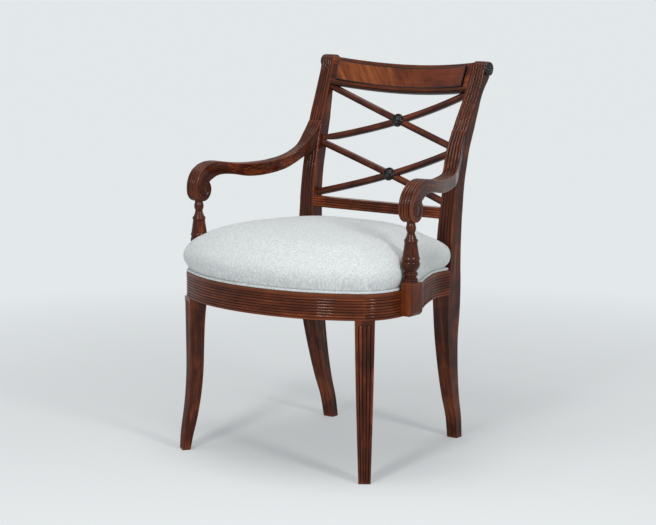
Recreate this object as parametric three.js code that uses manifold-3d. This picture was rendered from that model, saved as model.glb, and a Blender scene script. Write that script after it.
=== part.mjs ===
// Open armchair in mahogany: reeded back posts with scrolled tops, a bowed crest rail over a
// lattice of two crosses, swept arms on turned posts, and an upholstered bow-fronted seat.
// Millimetres, +Z up, the sitter faces -Y. While the pieces are made, y = 0 is the front face of
// the back posts at the top of the seat rail; at the end the chair is centred on its footprint.
// "left" is the side at -X, which is on the left when the chair is seen from the front.
import * as THREE from 'three';
import { mergeVertices } from 'three/addons/utils/BufferGeometryUtils.js';
import Module from 'manifold-3d';

const wasm = await Module();
wasm.setup();

// The whole chair: each level stands above the one before it
const seatRailTop = 406.5;
const armScrollRise = 172;
const armRootRise = 138.5;
const backRise = 153;
const seatDepth = 446.5;
const seatHalfWidth = 280;
const gap = 0.3;
const cutOverrun = 4;

// Back posts, one piece each from the floor to the scrolled top
const postHalfGapFoot = 165;
const postHalfGapSeat = 172;
const postHalfGapTop = 195.5;
const postWidthFoot = 27;
const postWidthSeat = 43.5;
const postWidthTop = 33.5;
const postDepthSeat = 46;
const rearLegSweep = 70;
const backRake = 118;
const postScrollRadius = 17;
const edgeChamfer = 3;
const faceCamber = 0.5;
const reedDepth = 2;
const reedRunOut = 2;
const reedStartAboveSeat = 42;
const postReeds = 5;

// Crest rail with its inlaid panel
const crestHeight = 69;
const crestThickness = 17;
const crestBow = 24;
const crestDip = 14;
const crestDrop = 2;
const crestBeadRadius = 2.4;
const crestRound = 4;
const inlayDepth = 1.8;
const stringingWidth = 3;
const panelTopMargin = 11;
const panelBottomMargin = 14;
const panelSideMargin = 17;

// Lower cross rail, and the lattice between it and the crest
const crossRailRise = 113;
const crossRailHeight = 24.5;
const crossRailDepth = 18;
const crossRailSetBack = 1;
const crossRailReeds = 4;
const latticeTopClearance = 5;
const latticeBottomClearance = 10;
const barHeight = 12.5;
const barDepth = 12;
const barRidge = 3.2;
const barBow = 28.5;
const barHousing = 6;
const barSetBackTop = 6.5;
const barSetBackMiddle = 15.5;
const barSetBackBottom = 16;
const barJunctionRise = 5;

// Ebonised rosettes on the lattice and roundels on the scrolled posts
const rosetteRadius = 14.5;
const rosetteHeight = 7.5;
const rosetteSink = 2.5;
const roundelRadius = 15;
const roundelHeight = 7;
const bossPinRadius = 2.5;
const bossPinLength = 6;

// Arms
const armWidth = 32.5;
const armThickness = 30;
const armReeds = 5;
const armSeatLength = 72;
const armScrollRadius = 25.5;
const armDowelRadius = 4;
const armDowelLength = 34;
const armDowelInArm = 14;

// Turned arm posts and the blocks at their feet
const armPostOutset = 13;
const armPostBackShare = 0.608;
const armPostRadius = 19.8;
const armPostBlockWidth = 37;
const armPostBlockDepth = 44;
const armPostBlockRise = 13.5;
const armPostBlockLift = 2;
const armPostTenonRadius = 5;
const armPostTenonLength = 12;

// Seat rails and their joints
const seatRailHeight = 56.5;
const seatRailThickness = 26;
const seatRailReeds = 7;
const seatRailTopBand = 8.7;
const seatRailBottomBand = 5.2;
const backRailSetBack = 8;
const backRailThickness = 22;
const tenonThickness = 10;
const tenonLength = 24;
const stubTenonLength = 14;
const tenonShoulder = 8;
const cornerBlockHeight = 34;
const cornerBlockLength = 62;
const cornerBlockThickness = 22;

// Front legs
const frontLegTurnDegrees = 36;
const frontLegWidthTop = 43.5;
const frontLegWidthFoot = 26.5;
const frontLegDepthTop = 44;
const frontLegDepthFoot = 21;
const frontLegToe = 18;
const frontLegReeds = 5;
const frontLegPlainTop = 9;
const frontLegTenonWidth = 28;
const frontLegTenonThickness = 11;
const frontLegTenonHeight = 40;

// Upholstery
const cushionCrown = 115;
const cushionOverhang = 6;
const cushionClearance = 2;
const seatBackMargin = 4;
const coverThickness = 1.6;
const coverFootInset = 8.6;
const weltRadius = 3.5;
const weltInset = 4.5;
const boardThickness = 12;
const dustCoverInset = 12;
const dustCoverThickness = 1;

// Screws
const screwRadius = 2.2;
const screwHeadRadius = 4.2;
const screwHeadHeight = 2.6;
const blockScrewLength = 36;
const seatScrewLength = 42;

// Levels and places that follow
const crossRailBottom = seatRailTop + crossRailRise;
const armScrollHeight = seatRailTop + armScrollRise;
const armRootTop = armScrollHeight + armRootRise;
const backHeight = armRootTop + backRise;
const armHalfSpread = seatHalfWidth + armPostOutset;
const armPostBack = armPostBackShare * seatDepth;

const { lerp, clamp } = THREE.MathUtils;
const vec = (x, y, z) => new THREE.Vector3(x, y, z);
const xAxis = vec(1, 0, 0);
const yAxis = vec(0, 1, 0);
const zAxis = vec(0, 0, 1);

// Smooth curve through hand-chosen rows of [share along, share of a size]
function smoothShares(rows) {
  const slopes = rows.map((row, i) => {
    const before = rows[Math.max(i - 1, 0)];
    const after = rows[Math.min(i + 1, rows.length - 1)];
    return (after[1] - before[1]) / (after[0] - before[0]);
  });
  return (share) => {
    let i = 0;
    while (i < rows.length - 2 && share > rows[i + 1][0]) i += 1;
    const [from, low] = rows[i];
    const [to, high] = rows[i + 1];
    const span = to - from;
    const s = clamp((share - from) / span, 0, 1);
    const s2 = s * s;
    const s3 = s2 * s;
    return (2 * s3 - 3 * s2 + 1) * low + (s3 - 2 * s2 + s) * span * slopes[i]
      + (3 * s2 - 2 * s3) * high + (s3 - s2) * span * slopes[i + 1];
  };
}

// Faces turned outwards, told by the sign of the enclosed volume
function facingOut(geometry) {
  const position = geometry.getAttribute('position');
  const index = geometry.getIndex();
  const corner = (i) => new THREE.Vector3().fromBufferAttribute(position, index.getX(i));
  let volume = 0;
  for (let i = 0; i < index.count; i += 3) {
    volume += corner(i).dot(corner(i + 1).cross(corner(i + 2))) / 6;
  }
  if (volume > 0) return geometry;
  for (let i = 0; i < index.count; i += 3) {
    const kept = index.getX(i + 1);
    index.setX(i + 1, index.getX(i + 2));
    index.setX(i + 2, kept);
  }
  return geometry;
}

// One closed skin: shared corners merged, triangles without area left out
function closed(geometry) {
  const bare = geometry.clone();
  bare.deleteAttribute('normal');
  bare.deleteAttribute('uv');
  const merged = mergeVertices(bare, gap / 1000);
  const index = merged.getIndex();
  const kept = [];
  for (let i = 0; i < index.count; i += 3) {
    const [a, b, c] = [index.getX(i), index.getX(i + 1), index.getX(i + 2)];
    if (a !== b && b !== c && c !== a) kept.push(a, b, c);
  }
  merged.setIndex(kept);
  return facingOut(merged);
}

function solidOf(geometry) {
  return new wasm.Manifold(new wasm.Mesh({
    numProp: 3,
    vertProperties: Float32Array.from(geometry.getAttribute('position').array),
    triVerts: Uint32Array.from(geometry.getIndex().array),
  }));
}

function geometryOf(solid) {
  const mesh = solid.getMesh();
  const geometry = new THREE.BufferGeometry();
  geometry.setAttribute('position', new THREE.BufferAttribute(mesh.vertProperties, mesh.numProp));
  geometry.setIndex(new THREE.BufferAttribute(mesh.triVerts, 1));
  return geometry;
}

function cut(body, ...tools) {
  return geometryOf(tools.reduce((rest, tool) => rest.subtract(solidOf(tool)), solidOf(body)));
}

function join(...bodies) {
  const [first, ...others] = bodies.map(solidOf);
  return geometryOf(others.reduce((all, other) => all.add(other), first));
}

function overlap(body, other) {
  return geometryOf(solidOf(body).intersect(solidOf(other)));
}

const moved = (geometry, move) => geometry.clone().translate(move.x, move.y, move.z);

// What is left of a body beside a neighbour that it is fitted to, with the gap towards it
function fitted(body, neighbour, ...directions) {
  return cut(body, neighbour, ...directions.map((way) => (
    moved(neighbour, way.clone().multiplyScalar(gap)))));
}

function mirrored(geometry) {
  return facingOut(geometry.clone().scale(-1, 1, 1));
}

// Triangles of a ring of points, counter-clockwise about the ring's own normal
function capTriangles(ring) {
  const normal = vec(0, 0, 0);
  ring.forEach((p, i) => {
    const q = ring[(i + 1) % ring.length];
    normal.add(vec(
      (p.y - q.y) * (p.z + q.z),
      (p.z - q.z) * (p.x + q.x),
      (p.x - q.x) * (p.y + q.y),
    ));
  });
  normal.normalize();
  const along = ring[1].clone().sub(ring[0]).projectOnPlane(normal).normalize();
  const across = normal.clone().cross(along);
  const flat = ring.map((p) => new THREE.Vector2(p.dot(along), p.dot(across)));
  return THREE.ShapeUtils.triangulateShape(flat, []).map(([a, b, c]) => {
    const turn = (flat[b].x - flat[a].x) * (flat[c].y - flat[a].y)
      - (flat[b].y - flat[a].y) * (flat[c].x - flat[a].x);
    return turn > 0 ? [a, b, c] : [a, c, b];
  });
}

// Closed body through a row of rings with as many points each, capped or closed into a loop
function loft(rings, isLoop = false) {
  const count = rings[0].length;
  const triangles = [];
  const spans = isLoop ? rings.length : rings.length - 1;
  for (let r = 0; r < spans; r += 1) {
    const next = (r + 1) % rings.length;
    for (let i = 0; i < count; i += 1) {
      const j = (i + 1) % count;
      const [a, b] = [r * count + i, r * count + j];
      const [c, d] = [next * count + i, next * count + j];
      triangles.push([a, b, d], [a, d, c]);
    }
  }
  if (!isLoop) {
    const end = (rings.length - 1) * count;
    capTriangles(rings[0]).forEach(([a, b, c]) => triangles.push([a, c, b]));
    capTriangles(rings.at(-1)).forEach(([a, b, c]) => triangles.push([end + a, end + b, end + c]));
  }
  const geometry = new THREE.BufferGeometry();
  const positions = rings.flat().flatMap((p) => [p.x, p.y, p.z]);
  geometry.setAttribute('position', new THREE.Float32BufferAttribute(positions, 3));
  geometry.setIndex(triangles.flat());
  return facingOut(geometry);
}

function boxAt(size, place, yaw = 0, tilt = 0) {
  const box = new THREE.BoxGeometry(size.x, size.y, size.z);
  box.rotateX(tilt).rotateZ(yaw).translate(place.x, place.y, place.z);
  return closed(box);
}

// Turned body: a profile of [radius, length along] about the given direction
function turned(profile, sides, place, direction) {
  const points = profile.map(([radius, along]) => new THREE.Vector2(radius, along));
  const body = new THREE.LatheGeometry(points, sides);
  body.applyQuaternion(new THREE.Quaternion().setFromUnitVectors(yAxis, direction));
  body.translate(place.x, place.y, place.z);
  return closed(body);
}

const rod = (radius, from, to, place, direction, sides = 8) => (
  turned([[0, from], [radius, from], [radius, to], [0, to]], sides, place, direction));

// Reeds across a face: rows of [share across, share of the reed depth that is cut away]
function reedShares(count) {
  const rows = [];
  for (let i = 0; i < count; i += 1) rows.push([i / count, 1], [(i + 0.5) / count, 0]);
  return [...rows, [1, 1]];
}

// Depth cut away at a row across a face: the reeds where they run, a slight camber elsewhere
function relief([share, cutShare], hasReeds) {
  return hasReeds ? reedDepth * cutShare : faceCamber * (2 * share - 1) ** 2;
}

// Back posts: the line of the front face, the width, the gap between the posts and the depth,
// for the leg from the floor to the top of the seat rail and for the back from there up
const legFrontShares = smoothShares([
  [0, 1], [0.125, 0.87], [0.25, 0.61], [0.375, 0.4], [0.5, 0.23], [0.625, 0.09], [0.75, 0],
  [0.85, -0.045], [1, 0],
]);
const legWidthShares = smoothShares([[0, 0], [0.37, 0.42], [0.7, 0.85], [0.84, 1], [1, 1]]);
const legDepthShares = smoothShares([
  [0, 0.52], [0.15, 0.54], [0.3, 0.65], [0.45, 0.76], [0.6, 0.88], [0.74, 1.05], [0.84, 1.1],
  [0.93, 1.06], [1, 0.98],
]);
const backFrontShares = smoothShares([
  [0, 0], [0.137, 0.03], [0.245, 0.068], [0.353, 0.119], [0.439, 0.174], [0.525, 0.25],
  [0.575, 0.295], [0.622, 0.355], [0.67, 0.423], [0.722, 0.513], [0.763, 0.597], [0.806, 0.683],
  [0.849, 0.764], [0.892, 0.841], [0.935, 0.907], [1, 0.985],
]);
const backWidthShares = smoothShares([
  [0, 0], [0.18, 0.1], [0.31, 0.4], [0.44, 0.55], [0.577, 0.63], [0.722, 0.65], [0.851, 0.72],
  [0.935, 0.89], [1, 1],
]);
const backGapShares = smoothShares([
  [0, 0], [0.245, 0.2], [0.297, 0.28], [0.439, 0.34], [0.577, 0.4], [0.67, 0.51], [0.763, 0.66],
  [0.851, 0.81], [0.935, 0.935], [1, 1],
]);
const backDepthShares = smoothShares([
  [0, 0.98], [0.137, 0.86], [0.288, 0.8], [0.417, 0.78], [0.525, 0.8], [0.67, 0.8], [0.722, 0.71],
  [0.765, 0.615], [0.812, 0.5], [0.84, 0.47], [0.87, 0.48], [0.907, 0.61], [0.935, 0.66],
  [0.976, 0.42],
]);

function postSize(z, foot, seat, top, legShares, backShares) {
  return z <= seatRailTop
    ? lerp(foot, seat, legShares(z / seatRailTop))
    : lerp(seat, top, backShares((z - seatRailTop) / (backHeight - seatRailTop)));
}

const evenShare = (share) => share;
const postFront = (z) => (z <= seatRailTop
  ? rearLegSweep * legFrontShares(z / seatRailTop)
  : postSize(z, 0, 0, backRake, evenShare, backFrontShares));
const postInner = (z) => (
  postSize(z, postHalfGapFoot, postHalfGapSeat, postHalfGapTop, evenShare, backGapShares));
const postWidth = (z) => (
  postSize(z, postWidthFoot, postWidthSeat, postWidthTop, legWidthShares, backWidthShares));
const postDepth = (z) => postSize(z, 0, 0, postDepthSeat, evenShare, backDepthShares)
  + (z <= seatRailTop ? postDepthSeat * legDepthShares(z / seatRailTop) : 0);
const postOuter = (z) => postInner(z) + postWidth(z);

// The scroll at a post's top rolls back from the line of the front face, which it touches
const scrollHeight = backHeight - postScrollRadius;
const scrollLean = Math.atan2(
  postFront(scrollHeight) - postFront(scrollHeight - 2 * postScrollRadius),
  2 * postScrollRadius,
);
const scrollTouch = scrollHeight + postScrollRadius * Math.sin(scrollLean);
const scrollBack = postFront(scrollTouch) + postScrollRadius * Math.cos(scrollLean);

const seatRailBottom = seatRailTop - seatRailHeight;
const reedStart = seatRailTop + reedStartAboveSeat;
const armSeatLow = armRootTop - armSeatLength;
const postHasReeds = (z) => z > reedStart && (z <= armSeatLow || z >= armRootTop);

function postHeights() {
  const legStopShares = [0, 0.1, 0.22, 0.37, 0.52, 0.68];
  const armSeatStopShares = [1 / 3, 2 / 3];
  const backStopShares = [0.17, 0.3, 0.46, 0.57, 0.68, 0.79, 0.88, 1];
  return [
    ...legStopShares.map((share) => share * seatRailTop),
    seatRailBottom,
    (seatRailBottom + seatRailTop) / 2,
    seatRailTop,
    reedStart,
    reedStart + reedRunOut,
    ...armSeatStopShares.map((share) => lerp(reedStart, armSeatLow, share)),
    armSeatLow,
    armSeatLow + reedRunOut,
    (armSeatLow + armRootTop) / 2,
    armRootTop - reedRunOut,
    armRootTop,
    ...backStopShares.map((share) => lerp(armRootTop, scrollTouch, share)),
  ];
}

function postRing(z) {
  const front = postFront(z);
  const back = front + postDepth(z);
  const [inner, outer] = [postInner(z), postOuter(z)];
  const face = reedShares(postReeds).map((row) => (
    vec(lerp(inner, outer, row[0]), front + relief(row, postHasReeds(z)), z)));
  return [
    ...face,
    vec(outer, back - edgeChamfer, z),
    vec(outer - edgeChamfer, back, z),
    vec(inner + edgeChamfer, back, z),
    vec(inner, back - edgeChamfer, z),
  ];
}

// Reeded drum about a line along x, for the scrolls of the posts and the arms
function reededDrum(radius, width, reeds, sides, place) {
  const rim = reedShares(reeds).map(([share, cutShare]) => (
    [radius - reedDepth * cutShare, width * (share - 0.5)]));
  return turned([[0, -width / 2], ...rim, [0, width / 2]], sides, place, xAxis);
}

function makePost() {
  const shaft = loft(postHeights().map(postRing));
  const middle = (postInner(scrollHeight) + postOuter(scrollHeight)) / 2;
  const drum = reededDrum(
    postScrollRadius,
    postWidth(scrollHeight),
    postReeds,
    16,
    vec(middle, scrollBack, scrollHeight),
  );
  return join(shaft, drum);
}

// A body between the posts, fitted to the inner faces of both
function betweenPosts(body, post) {
  const toRight = fitted(body, post, xAxis.clone().negate());
  return fitted(toRight, mirrored(post), xAxis);
}

// Turned boss with a pin behind it; the direction is the way it faces
function boss(radius, height, place, direction) {
  const profile = [
    [0, -bossPinLength], [bossPinRadius, -bossPinLength], [bossPinRadius, 0], [radius, 0],
    [radius, 0.3 * height], [0.9 * radius, 0.5 * height], [0.8 * radius, 0.36 * height],
    [0.58 * radius, 0.68 * height], [0.3 * radius, 0.92 * height], [0, height],
  ];
  return turned(profile, 14, place, direction);
}

const roundelPlace = vec(postOuter(scrollHeight), scrollBack, scrollHeight);
const roundelHole = rod(
  bossPinRadius + gap,
  -bossPinLength - gap,
  cutOverrun,
  roundelPlace,
  xAxis,
  14,
);

function makeRoundel() {
  const place = roundelPlace.clone().addScaledVector(xAxis, gap);
  return boss(roundelRadius, roundelHeight, place, xAxis);
}

// Crest rail: it leans with the posts and bows backwards and down between them
const crestTop = backHeight - crestDrop;
const crestLean = Math.atan2(postFront(crestTop) - postFront(crestTop - crestHeight), crestHeight);
const crestBottom = crestTop - crestHeight * Math.cos(crestLean);
const crestUp = vec(0, Math.sin(crestLean), Math.cos(crestLean));
const crestBack = vec(0, Math.cos(crestLean), -Math.sin(crestLean));

// Point of the crest: the share of the half width, the way up its face and the way behind it
function crestPoint(share, up, behind, sideMargin) {
  const bow = 1 - share * share;
  const point = vec(0, postFront(crestBottom) + crestBow * bow, crestBottom - crestDip * bow)
    .addScaledVector(crestUp, up).addScaledVector(crestBack, behind);
  return point.setX(share * (postInner(point.z + crestDip * bow) - sideMargin));
}

function crestPiece(outline, sideMargin) {
  const steps = 10;
  const rings = [];
  for (let i = 0; i <= steps; i += 1) {
    const share = 2 * (i / steps) - 1;
    rings.push(outline.map(([up, behind]) => crestPoint(share, up, behind, sideMargin)));
  }
  return loft(rings);
}

// Plate let into the crest's face, its edges moved out by an amount and its back by another
function crestPlate(edge, front, back) {
  const low = panelBottomMargin - edge;
  const high = crestHeight - panelTopMargin + edge;
  return crestPiece(
    [[low, front], [high, front], [high, back], [low, back]],
    panelSideMargin - edge,
  );
}

function crestBody(sideMargin) {
  const bead = crestBeadRadius;
  const roundStop = crestHeight - crestRound;
  return crestPiece([
    [0, bead], [0.3 * bead, 0.3 * bead], [bead, 0], [1.7 * bead, 0.3 * bead], [2 * bead, bead],
    [2 * bead + faceCamber, faceCamber], [roundStop, 0],
    [crestHeight - 0.3 * crestRound, 0.3 * crestRound], [crestHeight, crestRound],
    [crestHeight, crestThickness - crestRound], [roundStop, crestThickness],
    [crestRound, crestThickness], [0, crestThickness - crestRound],
  ], sideMargin);
}

function makeCrest(post) {
  const recess = crestPlate(stringingWidth + gap, -cutOverrun, inlayDepth);
  const body = betweenPosts(cut(crestBody(0), recess), post);
  return join(body, crestTenon(1, 0), crestTenon(-1, 0));
}

function crestTenon(side, grow) {
  const size = vec(
    2 * (stubTenonLength + grow),
    0.45 * crestThickness + 2 * grow,
    0.55 * crestHeight + 2 * grow,
  );
  return boxAt(size, crestPoint(side, crestHeight / 2, crestThickness / 2, 0), 0, -crestLean);
}

const makeCrestPanel = () => crestPlate(-gap, 0, inlayDepth - gap);

function makeCrestStringing() {
  return cut(
    crestPlate(stringingWidth, 0, inlayDepth - gap),
    crestPlate(0, -cutOverrun, inlayDepth + cutOverrun),
  );
}

// Lower cross rail: straight, reeded along its face
const crossRailTop = crossRailBottom + crossRailHeight;

function makeCrossRail(post) {
  const outline = reedShares(crossRailReeds).map(([share, cutShare]) => (
    [crossRailHeight * share, reedDepth * cutShare]));
  outline.push([crossRailHeight, crossRailDepth], [0, crossRailDepth]);
  const rings = [-1, 1].map((side) => outline.map(([up, behind]) => {
    const z = crossRailBottom + up;
    return vec(side * postInner(z), postFront(z) + crossRailSetBack + behind, z);
  }));
  return join(betweenPosts(loft(rings), post), crossRailTenon(1, 0), crossRailTenon(-1, 0));
}

function crossRailTenon(side, grow) {
  const z = (crossRailBottom + crossRailTop) / 2;
  const size = vec(
    2 * (stubTenonLength + grow),
    0.5 * crossRailDepth + 2 * grow,
    0.7 * crossRailHeight + 2 * grow,
  );
  const y = postFront(z) + crossRailSetBack + 0.55 * crossRailDepth;
  return boxAt(size, vec(side * postInner(z), y, z));
}

// Lattice: two crosses, one above the other, whose bars bow backwards between the posts
const latticeMiddle = (crossRailTop + crestBottom) / 2;
const postPoint = (z, setBack) => vec(postInner(z), postFront(z) + setBack, z);
const latticeTopEnd = postPoint(crestBottom - latticeTopClearance, barSetBackTop);
const latticeHighMiddle = postPoint(latticeMiddle + barJunctionRise, barSetBackMiddle);
const latticeLowMiddle = postPoint(latticeMiddle - barJunctionRise, barSetBackMiddle);
const latticeBottomEnd = postPoint(crossRailTop + latticeBottomClearance, barSetBackBottom);
const latticeLean = Math.atan2(
  latticeTopEnd.y - latticeBottomEnd.y,
  latticeTopEnd.z - latticeBottomEnd.z,
);
const latticeBack = vec(0, Math.cos(latticeLean), -Math.sin(latticeLean));
const bowAt = (share) => 4 * barBow * share * (1 - share);

// One bar from a left end to a right end, its face ridged along the middle
function latticeBar(leftEnd, rightEnd, grow = 0) {
  const from = leftEnd.clone().setX(-leftEnd.x);
  const along = rightEnd.clone().sub(from).normalize();
  const upright = latticeBack.clone().cross(along).multiplyScalar(-1).normalize();
  const start = from.clone().addScaledVector(along, -barHousing - grow);
  const end = rightEnd.clone().addScaledVector(along, barHousing + grow);
  const half = barHeight / 2 + grow;
  const outline = [
    [-half, barRidge - grow], [-0.5 * half, 0.25 * barRidge - grow], [0, -grow],
    [0.5 * half, 0.25 * barRidge - grow], [half, barRidge - grow], [half, barDepth + grow],
    [-half, barDepth + grow],
  ];
  const steps = 10;
  const rings = [];
  for (let i = 0; i <= steps; i += 1) {
    const share = i / steps;
    const middle = start.clone().lerp(end, share).addScaledVector(latticeBack, bowAt(share));
    rings.push(outline.map(([up, behind]) => (
      middle.clone().addScaledVector(upright, up).addScaledVector(latticeBack, behind))));
  }
  return loft(rings);
}

// Everything beyond the middle of the bars' depth, before it (-1) or behind it (1)
function halvingBlock(crossing, side) {
  const reach = 4 * barHeight;
  const place = crossing.clone()
    .addScaledVector(latticeBack, barDepth / 2 + side * (reach - gap) / 2);
  return boxAt(vec(reach, reach, reach), place, 0, -latticeLean);
}

// Everything on one side of the level at which the two crosses meet
function junctionBlock(side) {
  const reach = 2 * (backHeight - latticeMiddle);
  const place = vec(0, 0, latticeMiddle + side * (reach - gap) / 2);
  return boxAt(vec(2 * reach, 2 * reach, reach), place);
}

// Two bars halved into each other, trimmed where the crosses meet and sunk for the rosette
function latticeCross(high, low, trimSide) {
  const share = low.x / (low.x + high.x);
  const crossing = low.clone().lerp(high, share).setX(0).addScaledVector(latticeBack, bowAt(share));
  const forward = latticeBack.clone().negate();
  const seat = crossing.clone().addScaledVector(latticeBack, rosetteSink);
  const tools = [
    junctionBlock(trimSide),
    rod(rosetteRadius + gap, 0, rosetteSink + cutOverrun, seat, forward, 14),
    rod(bossPinRadius + gap, -bossPinLength - gap, cutOverrun, seat, forward, 14),
  ];
  const backOfFalling = overlap(latticeBar(high, low, gap), halvingBlock(crossing, 1));
  const frontOfRising = overlap(latticeBar(low, high, gap), halvingBlock(crossing, -1));
  const crest = crestBody(-2 * barHousing);
  const trimmed = (bar) => fitted(bar, crest, zAxis.clone().negate());
  return {
    rising: cut(trimmed(latticeBar(low, high)), backOfFalling, ...tools),
    falling: cut(trimmed(latticeBar(high, low)), frontOfRising, ...tools),
    rosette: boss(
      rosetteRadius,
      rosetteHeight,
      seat.clone().addScaledVector(forward, gap),
      forward,
    ),
  };
}

const barMortises = () => [
  latticeBar(latticeHighMiddle, latticeTopEnd, gap),
  latticeBar(latticeTopEnd, latticeHighMiddle, gap),
  latticeBar(latticeBottomEnd, latticeLowMiddle, gap),
  latticeBar(latticeLowMiddle, latticeBottomEnd, gap),
];

// Outer edge of the seat in plan from the middle of its front to the right back post: along the
// bowed front in shares of the half width and depth, then along the side in shares of what the
// seat is wider than the posts. The row named by frontLegRow carries the front leg.
const frontEdgeShares = [
  [0, 1], [0.25, 0.99], [0.5, 0.955], [0.68, 0.908], [0.8, 0.866], [0.877, 0.835],
  [0.935, 0.79], [0.972, 0.741], [0.992, 0.685], [1, 0.634],
];
const sideEdgeShares = [
  [0.985, 0.587], [0.88, 0.497], [0.7, 0.393], [0.49, 0.33], [0.18, 0.218], [0, 0.138],
  [-0.04, 0.08], [0, 0],
];
const frontLegRow = 5;
const armPostRow = 9;
const sideRow = 11;
const railEndX = postOuter(seatRailTop);
const halfEdge = [
  ...frontEdgeShares.map(([x, y]) => vec(seatHalfWidth * x, -seatDepth * y, 0)),
  ...sideEdgeShares.map(([x, y]) => vec(lerp(railEndX, seatHalfWidth, x), -seatDepth * y, 0)),
];
const lastRow = halfEdge.length - 1;
const seatEdge = new THREE.CatmullRomCurve3([
  ...halfEdge.slice(1).reverse().map((p) => vec(-p.x, p.y, 0)),
  ...halfEdge,
]);

// Place on the edge by row, negative rows on the left, with the ways along and out of it
function edgeAt(row) {
  const share = (row + lastRow) / (2 * lastRow);
  const along = seatEdge.getTangent(share);
  return { point: seatEdge.getPoint(share), along, out: vec(along.y, -along.x, 0) };
}

function seatRailOutline() {
  const reeded = seatRailHeight - seatRailTopBand - seatRailBottomBand;
  const reeds = reedShares(seatRailReeds).map(([share, cutShare]) => (
    [-reedDepth * cutShare, seatRailBottomBand + reeded * share]));
  return [
    [0, 0], [0, seatRailBottomBand - faceCamber], ...reeds,
    [0, seatRailHeight - seatRailTopBand + faceCamber], [0, seatRailHeight],
    [-seatRailThickness, seatRailHeight], [-seatRailThickness, 0],
  ];
}

function seatRailRing(row) {
  const { point, out } = edgeAt(row);
  return seatRailOutline().map(([outwards, up]) => (
    point.clone().addScaledVector(out, outwards).setZ(seatRailBottom + up)));
}

function makeFrontRail() {
  const steps = 3 * frontLegRow;
  const rings = [];
  for (let i = 0; i <= steps; i += 1) {
    rings.push(seatRailRing(frontLegRow * (2 * (i / steps) - 1)));
  }
  return loft(rings);
}

// Right side rail, from the front leg to the face of the back post
function makeSideRail() {
  const { along } = edgeAt(frontLegRow);
  const rings = [seatRailRing(frontLegRow).map((p) => p.addScaledVector(along, gap))];
  for (let row = frontLegRow + 1; row < lastRow; row += 1) rings.push(seatRailRing(row));
  rings.push(seatRailOutline().map(([outwards, up]) => {
    const z = seatRailBottom + up;
    return vec(postOuter(z) + outwards, postFront(z) - gap, z);
  }));
  return join(loft(rings), sideRailTenon(0));
}

const railMiddle = (seatRailBottom + seatRailTop) / 2;
const railTenonHeight = seatRailHeight - 2 * tenonShoulder;

function sideRailTenon(grow) {
  const size = vec(
    tenonThickness + 2 * grow,
    2 * (tenonLength + grow),
    railTenonHeight + 2 * grow,
  );
  const x = postOuter(railMiddle) - seatRailThickness / 2;
  return boxAt(size, vec(x, postFront(railMiddle), railMiddle));
}

const backRailMiddle = backRailSetBack + backRailThickness / 2;

function backRailTenon(side, grow) {
  const size = vec(
    2 * (stubTenonLength + grow),
    tenonThickness + 2 * grow,
    railTenonHeight + 2 * grow,
  );
  return boxAt(size, vec(side * postInner(railMiddle), backRailMiddle, railMiddle));
}

function makeBackRail(post) {
  const rings = [-1, 1].map((side) => (
    [[0, 0], [0, 1], [1, 1], [1, 0]].map(([depthShare, riseShare]) => {
      const z = seatRailBottom + seatRailHeight * riseShare;
      const y = backRailSetBack + backRailThickness * depthShare;
      return vec(side * postInner(z), y, z);
    })));
  return join(betweenPosts(loft(rings), post), backRailTenon(1, 0), backRailTenon(-1, 0));
}

// Front corners of the seat, where front and side rail meet. Place there: the way along the
// seat's edge, the way in from it, and the height
const cornerSpot = edgeAt(frontLegRow);
const cornerYaw = Math.atan2(cornerSpot.along.y, cornerSpot.along.x);
const atSpot = ({ point, along, out }) => (across, inwards, z) => (
  point.clone().addScaledVector(along, across).addScaledVector(out, -inwards).setZ(z));
const atCorner = atSpot(cornerSpot);

// Front legs: turned a little less than the edge, tenoned into the joint of the rails
const legYaw = THREE.MathUtils.degToRad(frontLegTurnDegrees);
const atLeg = atSpot({
  point: cornerSpot.point,
  along: vec(Math.cos(legYaw), Math.sin(legYaw), 0),
  out: vec(Math.sin(legYaw), -Math.cos(legYaw), 0),
});
const legToeShares = smoothShares([
  [0, 1], [0.115, 0.83], [0.245, 0.45], [0.37, 0.16], [0.54, -0.02], [0.76, -0.03], [1, 0],
]);
const frontLegDepthShares = smoothShares([
  [0, 0], [0.05, 0.09], [0.17, 0.31], [0.34, 0.45], [0.5, 0.535], [0.67, 0.6], [0.83, 0.7],
  [0.95, 0.87], [1, 1],
]);
const frontLegWidthShares = smoothShares([
  [0, 0], [0.26, 0.33], [0.46, 0.56], [0.7, 0.78], [1, 1],
]);

function frontLegRing(z) {
  const share = z / seatRailBottom;
  const width = lerp(frontLegWidthFoot, frontLegWidthTop, frontLegWidthShares(share));
  const depth = lerp(frontLegDepthFoot, frontLegDepthTop, frontLegDepthShares(share));
  const toe = frontLegToe * legToeShares(share);
  const hasReeds = z < seatRailBottom - frontLegPlainTop;
  const face = reedShares(frontLegReeds).map((row) => (
    atLeg(width * (row[0] - 0.5), relief(row, hasReeds) - toe, z)));
  return [
    ...face,
    atLeg(width / 2, depth - edgeChamfer - toe, z),
    atLeg(width / 2 - edgeChamfer, depth - toe, z),
    atLeg(edgeChamfer - width / 2, depth - toe, z),
    atLeg(-width / 2, depth - edgeChamfer - toe, z),
  ];
}

function frontLegTenon(grow) {
  const root = 2 * tenonShoulder;
  const size = vec(
    frontLegTenonWidth + 2 * grow,
    frontLegTenonThickness + 2 * grow,
    frontLegTenonHeight + root + 2 * grow,
  );
  const z = seatRailBottom + (frontLegTenonHeight - root) / 2;
  return boxAt(size, atLeg(0, seatRailThickness / 2, z), legYaw);
}

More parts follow.
